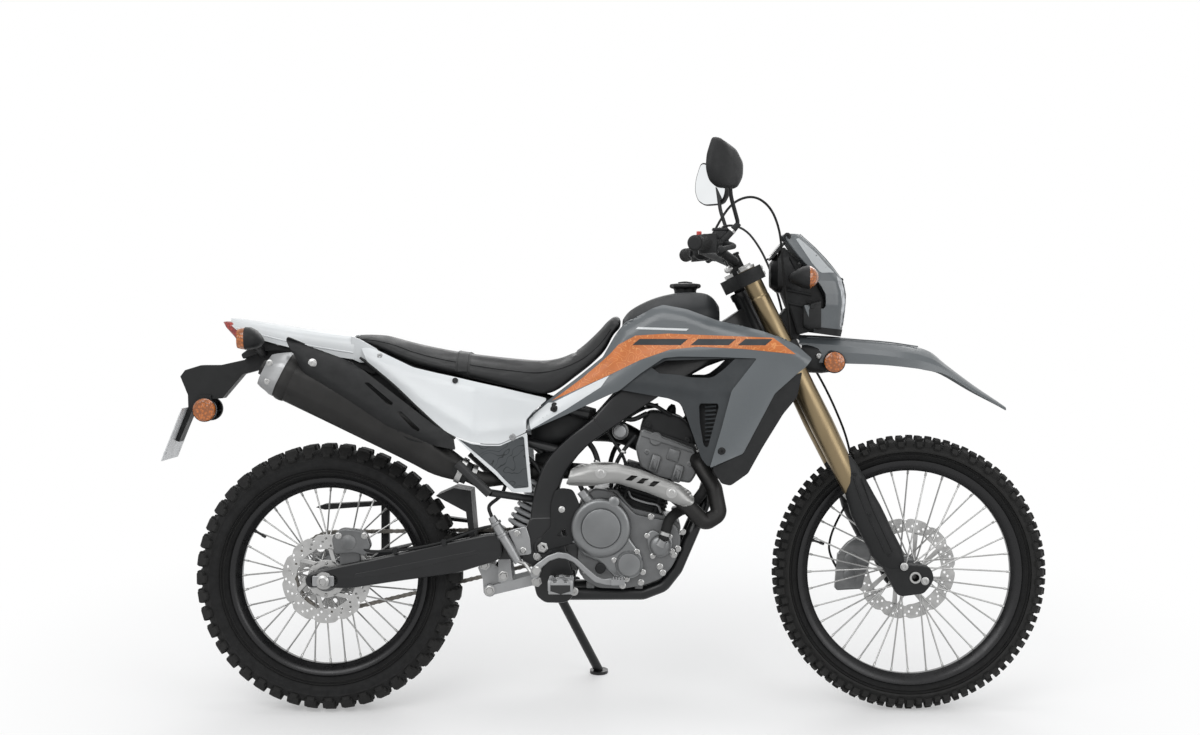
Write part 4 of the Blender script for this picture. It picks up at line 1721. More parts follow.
def make_mirrors():
    shape = bmesh.new()
    turn = math.radians(35.0)
    along = Vector((math.sin(turn), math.cos(turn), 0))
    out = Vector((math.cos(turn), -math.sin(turn), 0))
    leaf = [Vector((x, z, 0)) for x, z in rounded([(-70, -14), (-66, 20), (-44, 60), (-30, 62), (36, 42), (72, 8),
                                                   (70, -30), (48, -56), (-24, -56), (-56, -42)], 13, 5)]
    for _, place in HANDS:
        centre = MIRROR_FOOT + Vector((-24, -83, 152))
        for paint, levels in ((0, ((0.97, -6.5), (1.0, -4), (1.0, 2), (0.96, 9), (0.86, 16), (0.66, 22), (0.36, 25.5),
                                   (0.08, 26.5))), (1, ((0.93, -4), (0.93, -7.2), (0.9, -7.6)))):
            rings = []
            for scale, high in levels:
                rings.append([place(centre + along * p.x * scale + Vector((0, 0, 1)) * p.y * scale + out * high)
                              for p in leaf])
            quads(shape, rings, paint=paint)
        rise = (MIRROR_FOOT - BOSS_ROOT).normalized()
        bends = (Vector((0, 0, 0)), rise * 22, Vector((-4, -23, 80)), Vector((-10, -56, 140)),
                 Vector((-12, -66, 152)))
        pipe(shape, [place(MIRROR_FOOT + bend) for bend in bends], 5, sides=16, bend=12)
        pipe(shape, [place(MIRROR_FOOT - rise * 2), place(MIRROR_FOOT + rise * 24)], [8.5, 7], sides=16)
    piece("mirror_heads", shape, "steering", [BLACK_PLASTIC, MIRROR_GLASS], ("mirrors",), sharp=34)


# ---------------------------------------------------------------- front brake and its hose
def make_front_brake():
    shape = bmesh.new()
    ax, az = FRONT_AXLE.x, FRONT_AXLE.z
    pads = [(ax - 179, az - 54), (ax - 176, az), (ax - 170, az + 40), (ax - 148, az + 66), (ax - 120, az + 84),
            (ax - 98, az + 74), (ax - 82, az + 58), (ax - 92, az + 24), (ax - 100, az), (ax - 108, az - 30),
            (ax - 112, az - 50)]
    plate(shape, [rounded(pads, 8, 4)], 67.5, 77, 2)
    plate(shape, [rounded(pads, 8, 4)], 45, 56.5, 2)
    bridge = [(ax - 180, az - 50), (ax - 172, az + 40), (ax - 160, az + 38), (ax - 166, az - 48)]
    plate(shape, [rounded(bridge, 3, 2)], 47, 76, 1.5)
    for x, z in ((ax - 140, az + 26), (ax - 142, az - 14)):
        turned(shape, [(19, 75), (20, 78), (19, 83), (15, 85), (6, 85.5)], (x, 0, z), sides=36, paint=0)
        turned(shape, [(17, -46), (17, -41), (12, -39)], (x, 0, z), TO_RIGHT, sides=30)
    bolts(shape, [(ax - 104, 77, az + 62, TO_LEFT), (ax - 118, 77, az - 38, TO_LEFT)], 6.5, 6, paint=1)
    arm = [(ax - 122, az + 64), (ax - 98, az + 84), (ax - 56, az + 86), (ax - 50, az + 60), (ax - 84, az + 40)]
    plate(shape, [rounded(arm, 6, 3)], 78, 92, 2)
    piece("front_brake_body", shape, "steering", [CAST_GREY, BRIGHT_STEEL], ("front_caliper",))


def laid_line(name, node, points, diameter, paint):
    """Hose or cable on one smooth line from fitting to fitting."""
    data = bpy.data.curves.new(name, "CURVE")
    data.dimensions = "3D"
    spline = data.splines.new("NURBS")
    spline.points.add(len(points) - 1)
    for point, spot in zip(spline.points, points):
        point.co = (*(PARKED @ Vector(spot)), 1)
    spline.order_u = 3
    spline.use_endpoint_u = True
    spline.resolution_u = 8
    data.bevel_depth = diameter / 2000
    data.bevel_resolution = 3
    data.use_fill_caps = True
    data.materials.append(paint)
    line = bpy.data.objects.new(name, data)
    bpy.context.scene.collection.objects.link(line)
    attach(line, "steering")
    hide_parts(node)


def make_hoses():
    laid_line("brake_hose", "front_brake_hose", [
        (270, -262, 1170), (296, -252, 1222), (330, -236, 1264), (378, -212, 1278), (420, -180, 1252),
        (444, -146, 1200), (452, -118, 1142), (458, -100, 1080), (466, -88, 1022), (474, -74, 966), (477, -68, 926)],
        6.0, GRIP_RUBBER)
    laid_line("clutch_wire", "clutch_cable", [
        (270, 262, 1170), (298, 250, 1208), (336, 234, 1232), (382, 208, 1216), (416, 180, 1168),
        (440, 146, 1112), (454, 114, 1060), (466, 92, 1010), (474, 76, 962), (477, 68, 926)], 6.0, SOFT_BLACK)
    laid_line("brake_pipe", "caliper_hose", [
        (491, 66, 919), (524, 68, 893), (552, 71, 850), (582, 72, 795), (608, 72, 738), (630, 71, 682),
        (643, 70, 625), (646, 70, 565), (632, 71, 510), (606, 71.5, 465), (588, 71.5, 420), (585, 71.5, 380),
        (606, 71.5, 345)], 6.0, GRIP_RUBBER)


make_fork()
make_front_fender()
make_cowl()
make_grips()
make_mirrors()
make_front_brake()
make_hoses()


# ---------------------------------------------------------------- engine
CYLINDER_LEAN = math.radians(17)
CYLINDER_UP = Vector((math.sin(CYLINDER_LEAN), 0, math.cos(CYLINDER_LEAN)))
CYLINDER_AHEAD = Vector((math.cos(CYLINDER_LEAN), 0, -math.sin(CYLINDER_LEAN)))
CYLINDER_ROOT = Vector((110, 0, 548))
GENERATOR = Vector((112, 0, 398))


def on_cylinder(height, ahead=0.0, side=0.0):
    """Point at a height up the cylinder's axis, ahead of it and to one side."""
    return CYLINDER_ROOT + CYLINDER_UP * height + CYLINDER_AHEAD * ahead + Vector((0, side, 0))


def side_bolts(shape, spots, face, radius, high, paint):
    """Bolts on a flat side face, at (x, z) spots."""
    side = -1 if face < 0 else 1
    bolts(shape, [(x, face, z, (0, side, 0)) for x, z in spots], radius, high, paint)


def make_engine():
    shape = bmesh.new()
    case = [(-50, 520), (-20, 552), (20, 562), (45, 560), (64, 534), (84, 512), (150, 496), (188, 486), (204, 470),
            (203, 455), (190, 410), (172, 375), (146, 342), (112, 324), (40, 320), (-20, 322), (-48, 350), (-52, 400)]
    plate(shape, [rounded(case, 8, 3)], -84, -1.2, 4)
    plate(shape, [rounded(case, 8, 3)], 1.2, 84, 4)
    plate(shape, [[(x * 0.985 + 1, z * 0.985 + 6.5) for x, z in case]], -2, 2, 0.4)
    plate(shape, [rounded([(-50, 350), (-50, 470), (-125, 440), (-125, 380)], 8, 3)], -58, 62, 4)
    for lug_x in (-30, 90):
        for side in (-1, 1):
            plate(shape, [rounded(rectangle(lug_x, 330, lug_x + 20, 302), 4, 3)], side * 60, side * 82, 2)
    for spot in ((-44, 500), (-46, 380), (190, 500), (180, 400), (130, 336), (60, 322)):
        for side in (-1, 1):
            turned(shape, [(8, 2), (8, 20), (5, 21)], (spot[0], 0, spot[1]), (0, side, 0), sides=16)
    skirt = [(-46, 500), (-38, 540), (-10, 562), (20, 560), (44, 548), (70, 520), (92, 498), (140, 488), (178, 480),
             (196, 464), (204, 438), (200, 404), (182, 368), (154, 338), (112, 322), (60, 314), (0, 316), (-38, 338),
             (-52, 380)]
    plate(shape, [rounded(skirt, 10, 4)], -103, -84, 4)
    left = [(-20, 470), (0, 496), (40, 500), (90, 478), (140, 470), (180, 440), (188, 400), (172, 356), (130, 330),
            (80, 322), (30, 330), (-4, 360), (-20, 410)]
    plate(shape, [rounded(left, 12, 4)], 84, 104, 4)
    turned(shape, [(30, 78), (30, 83), (24, 84), (24, 88), (12, 88), (11, 92)], (-98, 0, 408), sides=14, paint=1)
    side_bolts(shape, [(208, 455), (196, 413), (186, 398), (152, 369), (159, 354), (105, 330), (130, 492), (-34, 360),
                       (-42, 430), (172, 484), (60, 322)], -103, 6, 7, 1)
    side_bolts(shape, [(-10, 480), (60, 492), (150, 458), (180, 400), (150, 344), (70, 332), (0, 372)], 104, 6, 6, 1)
    piece("crankcase", shape, "frame", [CAST_GREY, BRIGHT_STEEL], ("engine_case",), sharp=34)

    shape = bmesh.new()
    clutch = circle(7, 466, 74, 40, math.radians(-20))[:26] + [(-62, 436), (-40, 400), (0, 384), (40, 346), (66, 340),
                                                              (100, 350), (112, 380), (104, 404), (84, 430)]
    plate(shape, [rounded(clutch, 4, 2)], -117, -101, 5)
    turned(shape, [(73, 116), (73, 120), (70.5, 124), (66, 126.5), (60, 127), (52, 124.5), (50, 124.5), (48.5, 130),
                   (46.6, 132.5), (44, 133.2), (20, 133.6), (2, 133.6)], (7, 0, 466), TO_RIGHT, sides=88)
    turned(shape, [(34, 114), (34, 119), (31, 122), (29.5, 122), (28, 127), (26, 128.5), (2, 128.8)], (76, 0, 376),
           TO_RIGHT, sides=56)
    turned(shape, [(26, 100), (26, 118), (23, 123), (16, 127), (2, 128)], (152, 0, 423), TO_RIGHT, sides=48)
    pump = [(118, 450), (134, 462), (150, 452), (176, 446), (184, 430), (178, 404), (158, 392), (134, 396),
            (124, 414)]
    plate(shape, [rounded(pump, 8, 3)], -112, -100, 3)
    side_bolts(shape, [(120, 446), (134, 396), (182, 408), (176, 444)], -112, 5, 6, 1)
    side_bolts(shape, [(39, 386), (95, 407), (110, 357), (70, 340)], -117, 5.5, 7, 1)
    turned(shape, [(15, 104), (15, 122), (13, 124), (13, 127), (9, 129), (2, 129)], (39, 0, 531), TO_RIGHT, sides=10)
    turned(shape, [(13, 104), (13, 118), (10, 120)], (5, 0, 366), TO_RIGHT, sides=24, paint=2)
    pipe(shape, [(-14, -104, 520), (-26, -104, 536), (-36, -104, 548)], [14, 13.5, 12], sides=24)
    pipe(shape, [(-30, -104, 541), (-41, -104, 556)], 13.4, sides=14, paint=3)
    turned(shape, [(70, 100), (70, 118), (66, 124), (52, 127), (50, 131), (46, 132.5), (2, 133)], GENERATOR, TO_LEFT,
           sides=80)
    gen = [(40, 490), (70, 480), (100, 468), (60, 346), (20, 356), (-8, 400), (-8, 440), (10, 474)]
    plate(shape, [rounded(gen, 10, 4)], 102, 121, 5)
    side_bolts(shape, [in_side_view(GENERATOR, 62, a) for a in (0.4, 1.5, 3.6, 4.7, 5.7)], 124, 5, 5, 1)
    side_bolts(shape, [(14, 460), (0, 410), (34, 364)], 121, 5, 5, 1)
    turned(shape, [(14, 132), (14, 135), (10, 136), (8, 133)], GENERATOR, TO_LEFT, sides=24, paint=1)
    piece("engine_lids", shape, "frame", [COVER_GREY, BRIGHT_STEEL, BLACK_PLASTIC, CAST_SILVER],
          ("engine_covers",), sharp=30)

    shape = bmesh.new()
    body = rounded(rectangle(-58, -60, 62, 60), 10, 3)
    slab(shape, on_cylinder(-56), CYLINDER_AHEAD, TO_LEFT, body, 118, 1)
    for k in range(-4, 6):
        wide = rounded(rectangle(-64, -67, 68, 67), 9, 3)
        slab(shape, on_cylinder(7 + 9 * k), CYLINDER_AHEAD, TO_LEFT, wide, 3.4, 0.9)
    for ahead in (-40, 44):
        for side in (-1, 1):
            pipe(shape, [on_cylinder(-40, ahead, side * 62), on_cylinder(60, ahead, side * 62)], 7, sides=14)
    pipe(shape, [(74, -74, 552), (84, -80, 536), (120, -80, 524), (146, -80, 518), (154, -76, 500)], 3, sides=12,
         smooth=5, paint=1)
    piece("barrel_fins", shape, "frame", [SOFT_BLACK, CAST_SILVER], ("cylinder",), sharp=30)

    shape = bmesh.new()
    head = [(105, 704), (112, 707), (236, 661), (248, 632), (250, 614), (240, 590), (228, 572), (196, 577),
            (147, 590), (103, 614), (95, 644), (92, 664)]
    plate(shape, [rounded(head, 7, 3)], -72, 72, 5)
    for side in (-1, 1):
        for x, z, tall in ((139, 622, 22), (196, 597, 22)):
            centre = Vector((x, side * 70, z))
            slab(shape, centre, CYLINDER_AHEAD * side, CYLINDER_UP * -1, rounded(rectangle(-12, -tall, 12, tall),
                 6, 4), 12, 3)
            slab(shape, centre + CYLINDER_UP * -4, CYLINDER_AHEAD * side, CYLINDER_UP * -1,
                 rounded(rectangle(-6, -tall * 0.6, 6, tall * 0.5), 3, 3), 15, 2)
        slab(shape, (186, side * 70, 642), CYLINDER_AHEAD * side, CYLINDER_UP * -1,
             rounded(rectangle(-15, -15, 15, 15), 3, 3), 7, 2)
        turned(shape, [(17, 70), (17, 74), (14, 76), (2, 76)], (142, 0, 682), (0, side, 0), sides=28)
        plate(shape, [rounded([(104, 690), (108, 703), (236, 656), (240, 645)], 3, 2)], side * 72, side * 77, 2)
        side_bolts(shape, [(120, 650), (226, 620)], side * 72, 5, 4, 0)
    cover = [(103, 704), (114, 738), (128, 750), (170, 748), (205, 736), (224, 720), (238, 694), (241, 658)]
    plate(shape, [rounded(cover, 10, 4)], -60, 60, 6, paint=2)
    plate(shape, [rounded([(103, 700), (106, 714), (240, 668), (242, 652)], 4, 3)], -66, 66, 2, paint=2)
    for spot in ((124, 716), (222, 680)):
        side_bolts(shape, [spot], -66, 6, 5, 2)
        side_bolts(shape, [spot], 66, 6, 5, 2)
    turned(shape, [(13, 0), (14, 12), (10, 26), (5, 34)], on_cylinder(196, 10, 0), CYLINDER_UP, sides=20, paint=2)
    piece("head_and_cover", shape, "frame", [CAST_GREY, BRIGHT_STEEL, BLACK_PLASTIC],
          ("cylinder_head",), sharp=32)


def make_intake():
    """Throttle body, intake pipe, air box and the hoses round them."""
    shape = bmesh.new()
    pipe(shape, [(108, 0, 668), (70, 0, 688), (30, 0, 700), (-10, 0, 706)], [24, 27, 30, 34], sides=28, smooth=3)
    turned(shape, [(20, -44), (20, 30), (22, 30), (22, 34)], (54, 0, 698), sides=32)
    turned(shape, [(19, 44), (19, 60), (16.5, 62), (14, 60), (10, 61), (2, 61)], (54, 0, 700), TO_RIGHT, sides=32,
           paint=1)
    turned(shape, [(20, 40), (21, 42), (21, 46), (20, 48)], (54, 0, 700), TO_RIGHT, sides=28, paint=2)
    oval_form(shape, ((-168, 0, 700, 50, 40, 4), (-150, 0, 705, 62, 52, 4), (-90, 0, 712, 64, 48, 4),
                      (-40, 0, 722, 60, 40, 4), (-8, 0, 724, 46, 30, 4)), 36)
    oval_form(shape, ((-160, 0, 610, 34, 30, 4), (-140, 0, 615, 44, 40, 4), (-100, 0, 640, 40, 30, 4),
                      (-80, 0, 660, 30, 20, 4)), 30)
    runs = (([(92, -62, 690), (60, -70, 650), (40, -66, 610), (30, -60, 560)], 5),
            ([(120, -62, 745), (80, -72, 730), (30, -60, 745), (-20, -62, 730)], 6),
            ([(180, -62, 740), (130, -74, 768), (60, -66, 770), (10, -60, 760)], 5),
            ([(20, -58, 700), (60, -66, 640), (70, -60, 600)], 4),
            ([(-20, -66, 560), (0, -70, 600), (-10, -62, 650), (-40, -60, 690)], 7),
            ([(54, -58, 716), (84, -70, 742), (120, -50, 760)], 3.5),
            ([(-36, -98, 550), (-50, -84, 580), (-60, -72, 620)], 6), ([(90, 66, 700), (40, 72, 650), (20, 66, 580)],
                                                                       6),
            ([(-140, -72, 650), (-190, -76, 690), (-230, -72, 700)], 9),
            ([(-130, -86, 560), (-150, -80, 610), (-180, -76, 640)], 6),
            ([(150, 66, 760), (80, 74, 750), (10, 66, 740)], 6), ([(100, -66, 600), (60, -74, 585), (40, -90, 560)],
                                                                  4))
    for points, radius in runs:
        pipe(shape, points, radius, sides=12, smooth=5)
    for spot in ((60, -71, 650), (-4, -66, 625), (112, -74, 766)):
        turned(shape, [(8, -3), (9, 0), (8, 3)], spot, (0.3, 0.1, 1), sides=16, paint=2)
    piece("intake_and_hoses", shape, "frame", [BLACK_PLASTIC, CAST_SILVER, BRIGHT_STEEL], sharp=40)

    shape = bmesh.new()
    hose = [(160, -122, 438), (166, -121, 458), (176, -112, 486), (198, -96, 504), (232, -90, 520), (270, -96, 570),
            (305, -96, 622)]
    pipe(shape, hose, 13, sides=20, smooth=6)
    for spot, run in (((164, -121, 452), (10, 0, 30)), ((302, -96, 616), (30, 0, 50))):
        turned(shape, [(13.6, -5), (14.6, -4), (14.6, 4), (13.6, 5)], spot, run, sides=28, paint=1)
    pipe(shape, [(152, -118, 424), (160, -122, 438)], [15, 12], sides=20, paint=2)
    pipe(shape, [(190, 60, 690), (240, 70, 740), (290, 80, 800), (326, 84, 838)], 12, sides=18, smooth=5)
    piece("coolant_hoses", shape, "frame", [GRIP_RUBBER, BRIGHT_STEEL, COVER_GREY], sharp=40)


def make_header_shield():
    shape = bmesh.new()
    outline = [(-72, 592), (-66, 612), (-45, 622), (-20, 626), (19, 629), (50, 626), (103, 612), (150, 594),
               (201, 575), (225, 557), (236, 541), (234, 531), (223, 523), (207, 524), (191, 528), (120, 556),
               (49, 578), (25, 579), (4, 575), (-40, 573), (-79, 575)]

    def face(x, z):
        rolled = roll_along([(-66, 612), (-20, 626), (50, 626), (103, 612), (201, 575), (236, 541)], 20, x, z)
        under = roll_along([(-79, 575), (4, 575), (49, 578), (120, 556), (191, 528), (223, 523)], 14, x, z)
        tail = max(0.0, (-20 - x) / 60)
        return 163 - 16 * rolled - 9 * under - 10 * tail

    slots = [[(66 + 27 * k, 587 - 7 * k), (82 + 27 * k, 599 - 7 * k), (98 + 27 * k, 597 - 7 * k),
              (82 + 27 * k, 585 - 7 * k)] for k in range(3)]
    sheet_of(shape, rounded(outline, 5, 3), face, 2.2, grid=6.0, sides=(-1,),
             holes=[rounded(s, 1.5, 2) for s in slots])
    bolts(shape, [(7, -face(7, 605), 605, TO_RIGHT), (180, -face(180, 557), 557, TO_RIGHT)], 9, 5, paint=1)
    for x, z in ((7, 605), (180, 557)):
        turned(shape, [(12, 150), (14, face(x, z) - 1), (14, face(x, z) + 1.5), (9, face(x, z) + 2)], (x, 0, z),
               TO_RIGHT, sides=28, paint=1)
    for spot in ((120, 579), (170, 560)):
        turned(shape, [(8, 146), (8, 158)], (spot[0], 0, spot[1]), TO_RIGHT, sides=16)
    backing = [(58, 590), (82, 600), (108, 598), (164, 580), (158, 563), (112, 567), (84, 578)]
    plate(shape, [rounded(backing, 3, 2)], -152, -149, 0.5, paint=2)
    piece("pipe_shield", shape, "frame", [SHIELD_STEEL, BRIGHT_STEEL, SOFT_BLACK], ("header_shield",),
          bevel=0.5)
    shape = bmesh.new()
    for spot, run in (((238, -44, 640), (10, -30, -18)), ((-306, -136, 600), (-30, -4, 10))):
        turned(shape, [(21, -7), (24, -6), (24, 6), (21, 7)], spot, run, sides=32)
    for y in (-22, 22):
        bolts(shape, [(244, -40 + y, 650, (1, 0, 0.3))], 5, 8)
    piece("pipe_collars", shape, "frame", [BRIGHT_STEEL])


# ---------------------------------------------------------------- frame and swingarm
def spar_ring(lower, upper, inner, outer, side):
    corner = [(0, inner), (0, outer), (1, outer), (1, inner)]
    span = Vector((upper[0] - lower[0], 0, upper[1] - lower[1]))
    flat = [(t * span.length, y) for t, y in corner]
    return [Vector((lower[0], 0, lower[1])) + span.normalized() * p[0] + Vector((0, side * p[1], 0))
            for p in rounded(flat, 7, 3)]


def make_frame():
    rows = ((412, 902, 362, 1010, 2, 22), (340, 884, 300, 968, 17, 42), (270, 862, 240, 925, 33, 60),
            (200, 822, 166, 884, 50, 77), (130, 775, 92, 835, 66, 94), (70, 735, 32, 788, 72, 99),
            (20, 700, -15, 735, 76, 104), (-30, 664, -72, 690, 79, 104), (-66, 622, -122, 640, 81, 104),
            (-92, 578, -148, 590, 83, 104), (-105, 530, -162, 540, 84, 104), (-112, 478, -168, 486, 88, 104))
    shape = bmesh.new()
    for side in (-1, 1):
        rings = [spar_ring((a, b), (c, d), y, w, side) for a, b, c, d, y, w in smooth_rows(rows, 2)]
        quads(shape, rings)
        weld = [(p + Vector((0, side * 0.2, 0))) for p in spar_ring((20, 700), (-14, 737), 75, 105.4, side)]
        pipe(shape, weld, 1.5, sides=6, closed=True)
        pivot = [(-168, 490), (-113, 492), (-94, 472), (-84, 440), (-76, 400), (-62, 350), (-60, 300), (-72, 284),
                 (-90, 279), (-132, 280), (-152, 296), (-160, 330), (-162, 370), (-190, 385), (-192, 430)]
        plate(shape, [rounded(pivot, 9, 4)], side * 88, side * 105, 4)
        turned(shape, [(24, 86), (24, 107), (20, 110), (16, 110), (15, 107), (8, 107)], (-137, 0, 417), (0, side, 0),
               sides=36)
        turned(shape, [(14, 106), (14, 114), (11, 116), (7, 116), (6, 111)], (-137, 0, 417), (0, side, 0), sides=6,
               paint=1)
    turned(shape, [(24, 658), (28.5, 660), (28.5, 676), (26, 680), (26, 800), (28.5, 804), (28.5, 818), (24, 820)],
           on_fork(0), FORK_UP, sides=40)
    pipe(shape, [(-85, -84, 655), (-85, 84, 655)], 14, sides=20)
    gusset = [(380, 905), (408, 912), (395, 960), (330, 920), (285, 895), (300, 880)]
    plate(shape, [rounded(gusset, 6, 3)], -16, 16, 3)
    axis = stand_axis()
    for radius, near, far in ((10, -26, -6.5), (6, -26, 6.5), (10, 6.5, 11)):
        pipe(shape, [STAND_PIVOT + axis * near, STAND_PIVOT + axis * far], radius, sides=20)
    piece("main_frame", shape, "frame", [FRAME_PAINT, BRIGHT_STEEL], ("frame_spars",), sharp=34)

    shape = bmesh.new()
    cover = [(-92, 564), (-63, 560), (-54, 542), (-45, 520), (-43, 465), (-35, 440), (-56, 428), (-125, 410),
             (-138, 418), (-143, 435), (-130, 455), (-118, 466), (-118, 520), (-108, 556)]
    window = [(-102, 445), (-76, 445), (-84, 464)]
    plate(shape, [rounded(cover, 9, 4), rounded(window, 3, 2)], -112, -105.5, 2)
    side_bolts(shape, [(-90, 511)], -112, 6, 4, 1)
    bolts(shape, [(-60, -104, 308, TO_RIGHT), (-150, -105, 395, TO_RIGHT)], 8, 7, paint=1)
    bolts(shape, [(-60, 104, 308, TO_LEFT), (-150, 105, 395, TO_LEFT), (-148, 105, 470, TO_LEFT)], 8, 7, paint=1)
    piece("pivot_cover", shape, "frame", [BLACK_PLASTIC, BRIGHT_STEEL])


STAND_PIVOT = Vector((-128, 126, 312))


def stand_axis():
    """Line that the side stand folds about: its foot goes from the ground to beside the rear axle."""
    on_ground = Vector((-5, 270, 270 * math.tan(LEAN)))
    folded_run = Vector((-300, 20, 5))
    return (on_ground - STAND_PIVOT).cross(folded_run).normalized()


def make_swingarm():
    shape = bmesh.new()
    arm = [(-716, 318), (-724, 335), (-716, 352), (-680, 362), (-640, 372), (-560, 388), (-420, 420), (-275, 450),
           (-250, 452), (-236, 440), (-236, 400), (-250, 384), (-347, 354), (-520, 330), (-610, 316)]
    for side in (-1, 1):
        slot = [(-706, 326), (-706, 344), (-646, 344), (-646, 326)]
        plate(shape, [rounded(arm, 9, 4), rounded(slot, 8, 4)], side * 88, side * 112, 5)
        groove = [(-600, 342), (-600, 352), (-300, 410), (-290, 402), (-520, 350)]
        plate(shape, [rounded(groove, 4, 2)], side * 111.5, side * 113, 0.6)
        nose = [(-285, 384), (-285, 430), (-240, 436), (-165, 427), (-145, 410), (-150, 396), (-165, 385)]
        plate(shape, [rounded(nose, 8, 4)], side * 60, side * 88, 4)
        turned(shape, [(22, 86), (22, 114), (20, 116), (15, 116), (15, 128), (9, 131), (8, 128)],
               (REAR_AXLE.x, 0, REAR_AXLE.z), (0, side, 0), sides=6 if side > 0 else 32, paint=1)
        block = [(-704, 322), (-704, 348), (-650, 348), (-650, 322)]
        plate(shape, [rounded(block, 4, 3)], side * 112, side * 117, 1.5, paint=2)
        pipe(shape, [(-730, side * 100, 335), (-704, side * 100, 335)], 4, sides=10, paint=1)
        turned(shape, [(7, 0), (7, 6)], (-728, side * 100, 335), (1, 0, 0), sides=6, paint=1)
    plate(shape, [rounded([(-332, 368), (-332, 418), (-262, 426), (-262, 382)], 10, 4)], -90, 90, 3)
    pipe(shape, [(-137, -88, 417), (-137, 88, 417)], 21, sides=28)
    pipe(shape, [(REAR_AXLE.x, -118, REAR_AXLE.z), (REAR_AXLE.x, 118, REAR_AXLE.z)], 9, sides=24, paint=1)
    piece("swing_arm", shape, "frame", [FRAME_PAINT, BRIGHT_STEEL, CAST_SILVER], ("swingarm",),
          sharp=34)

    shape = bmesh.new()
    bolts(shape, [(-285, -44, 366, TO_RIGHT), (-237, -58, 340, TO_RIGHT), (-271, -62, 304, TO_RIGHT),
                  (-152, -105, 332, TO_RIGHT), (-285, 44, 366, TO_LEFT), (-237, 58, 340, TO_LEFT),
                  (-271, 62, 304, TO_LEFT)], 10, 7, socket=False)
    line = []
    foot_at, top_at = Vector((-225, 0, 400)), Vector((-85, 0, 655))
    run = (top_at - foot_at).normalized()
    across = Vector(TO_LEFT)
    other = run.cross(across)
    coils, steps, radius = 8, 12, 35
    for k in range(coils * steps + 1):
        angle = 2 * math.pi * k / steps
        line.append(foot_at + run * (62 + 16 * k / steps) + across * (radius * math.cos(angle))
                    + other * (radius * math.sin(angle)))
    pipe(shape, line, 5.5, sides=10, paint=1)
    piece("spring_and_bolts", shape, "frame", [BRIGHT_STEEL, WHITE_LINE], sharp=30)


def make_foot_pieces():
    shape = bmesh.new()
    for side in (-1, 1):
        plate(shape, [rounded(rectangle(-106, 348, -62, 322), 5, 3)], side * 104, side * 144, 2)
        for x in (-116, -62):
            teeth = []
            for k in range(13):
                y = 142 + 7.4 * k
                teeth += [(y, 342), (y + 1.5, 350), (y + 3.5, 350), (y + 5.5, 342)]
            outline = teeth + [(234, 326), (142, 322)]
            quads(shape, [[(x + shift, side * y, z) for y, z in outline] for shift in (-3, 3)])
        rim = [(-118, 318), (-118, 352), (-110, 352), (-106, 346), (-98, 346), (-94, 354), (-84, 354), (-80, 346),
               (-72, 346), (-68, 352), (-60, 352), (-60, 318)]
        for y in (144, 174, 204, 231):
            plate(shape, [rounded(rim, 2, 2)], side * (y - 2.5), side * (y + 2.5), 0.8)
        pipe(shape, [(-89, side * 112, 334), (-89, side * 228, 334)], 8, sides=16)
        turned(shape, [(6, -16), (8, -15), (8, 15), (6, 16)], (-84, side * 122, 335), (0, 0, 1), sides=16, paint=1)
    piece("rider_pegs", shape, "frame", [CAST_SILVER, BRIGHT_STEEL])

    shape = bmesh.new()
    pedal = [(-166, 352), (-162, 372), (-148, 384), (-123, 402), (-98, 411), (-74, 408), (-52, 395), (-28, 373),
             (-3, 352), (14, 345), (30, 347), (62, 348), (62, 331), (20, 331), (-8, 338), (-36, 362), (-60, 386),
             (-80, 394), (-96, 396), (-118, 389), (-138, 372), (-142, 352), (-150, 344)]
    plate(shape, [rounded(pedal, 4, 3), circle(-150, 365, 5, 20)], -160, -150, 2)
    for k in range(4):
        plate(shape, [rounded(rectangle(36 + 7 * k, 344, 40 + 7 * k, 352), 1, 2)], -176, -146, 0.6)
    plate(shape, [rounded(rectangle(32, 332, 66, 346), 3, 3)], -176, -146, 1)
    pipe(shape, [(-150, -104, 365), (-150, -164, 365)], 8, sides=20, paint=1)
    turned(shape, [(12, 150), (12, 163), (9, 166), (5, 166)], (-150, 0, 365), TO_RIGHT, sides=24, paint=1)
    pipe(shape, [(-160, -152, 356), (-178, -140, 380), (-198, -124, 386)], 5, sides=12, paint=1)
    plate(shape, [rounded([(28, 338), (28, 356), (60, 361), (126, 368), (136, 352), (60, 342)], 6, 4)], 134, 142, 2)
    pipe(shape, [(38, 122, 348), (38, 146, 348)], 8, sides=20, paint=1)
    pipe(shape, [(127, 140, 355), (127, 190, 355)], 9, sides=18, paint=2)
    for k in range(5):
        turned(shape, [(9, -1.5), (10, 0), (9, 1.5)], (127, 152 + 8 * k, 355), sides=18, paint=2)
    piece("brake_and_shift_pedals", shape, "frame", [CAST_SILVER, BRIGHT_STEEL, GRIP_RUBBER],
          ("foot_levers",), sharp=34)


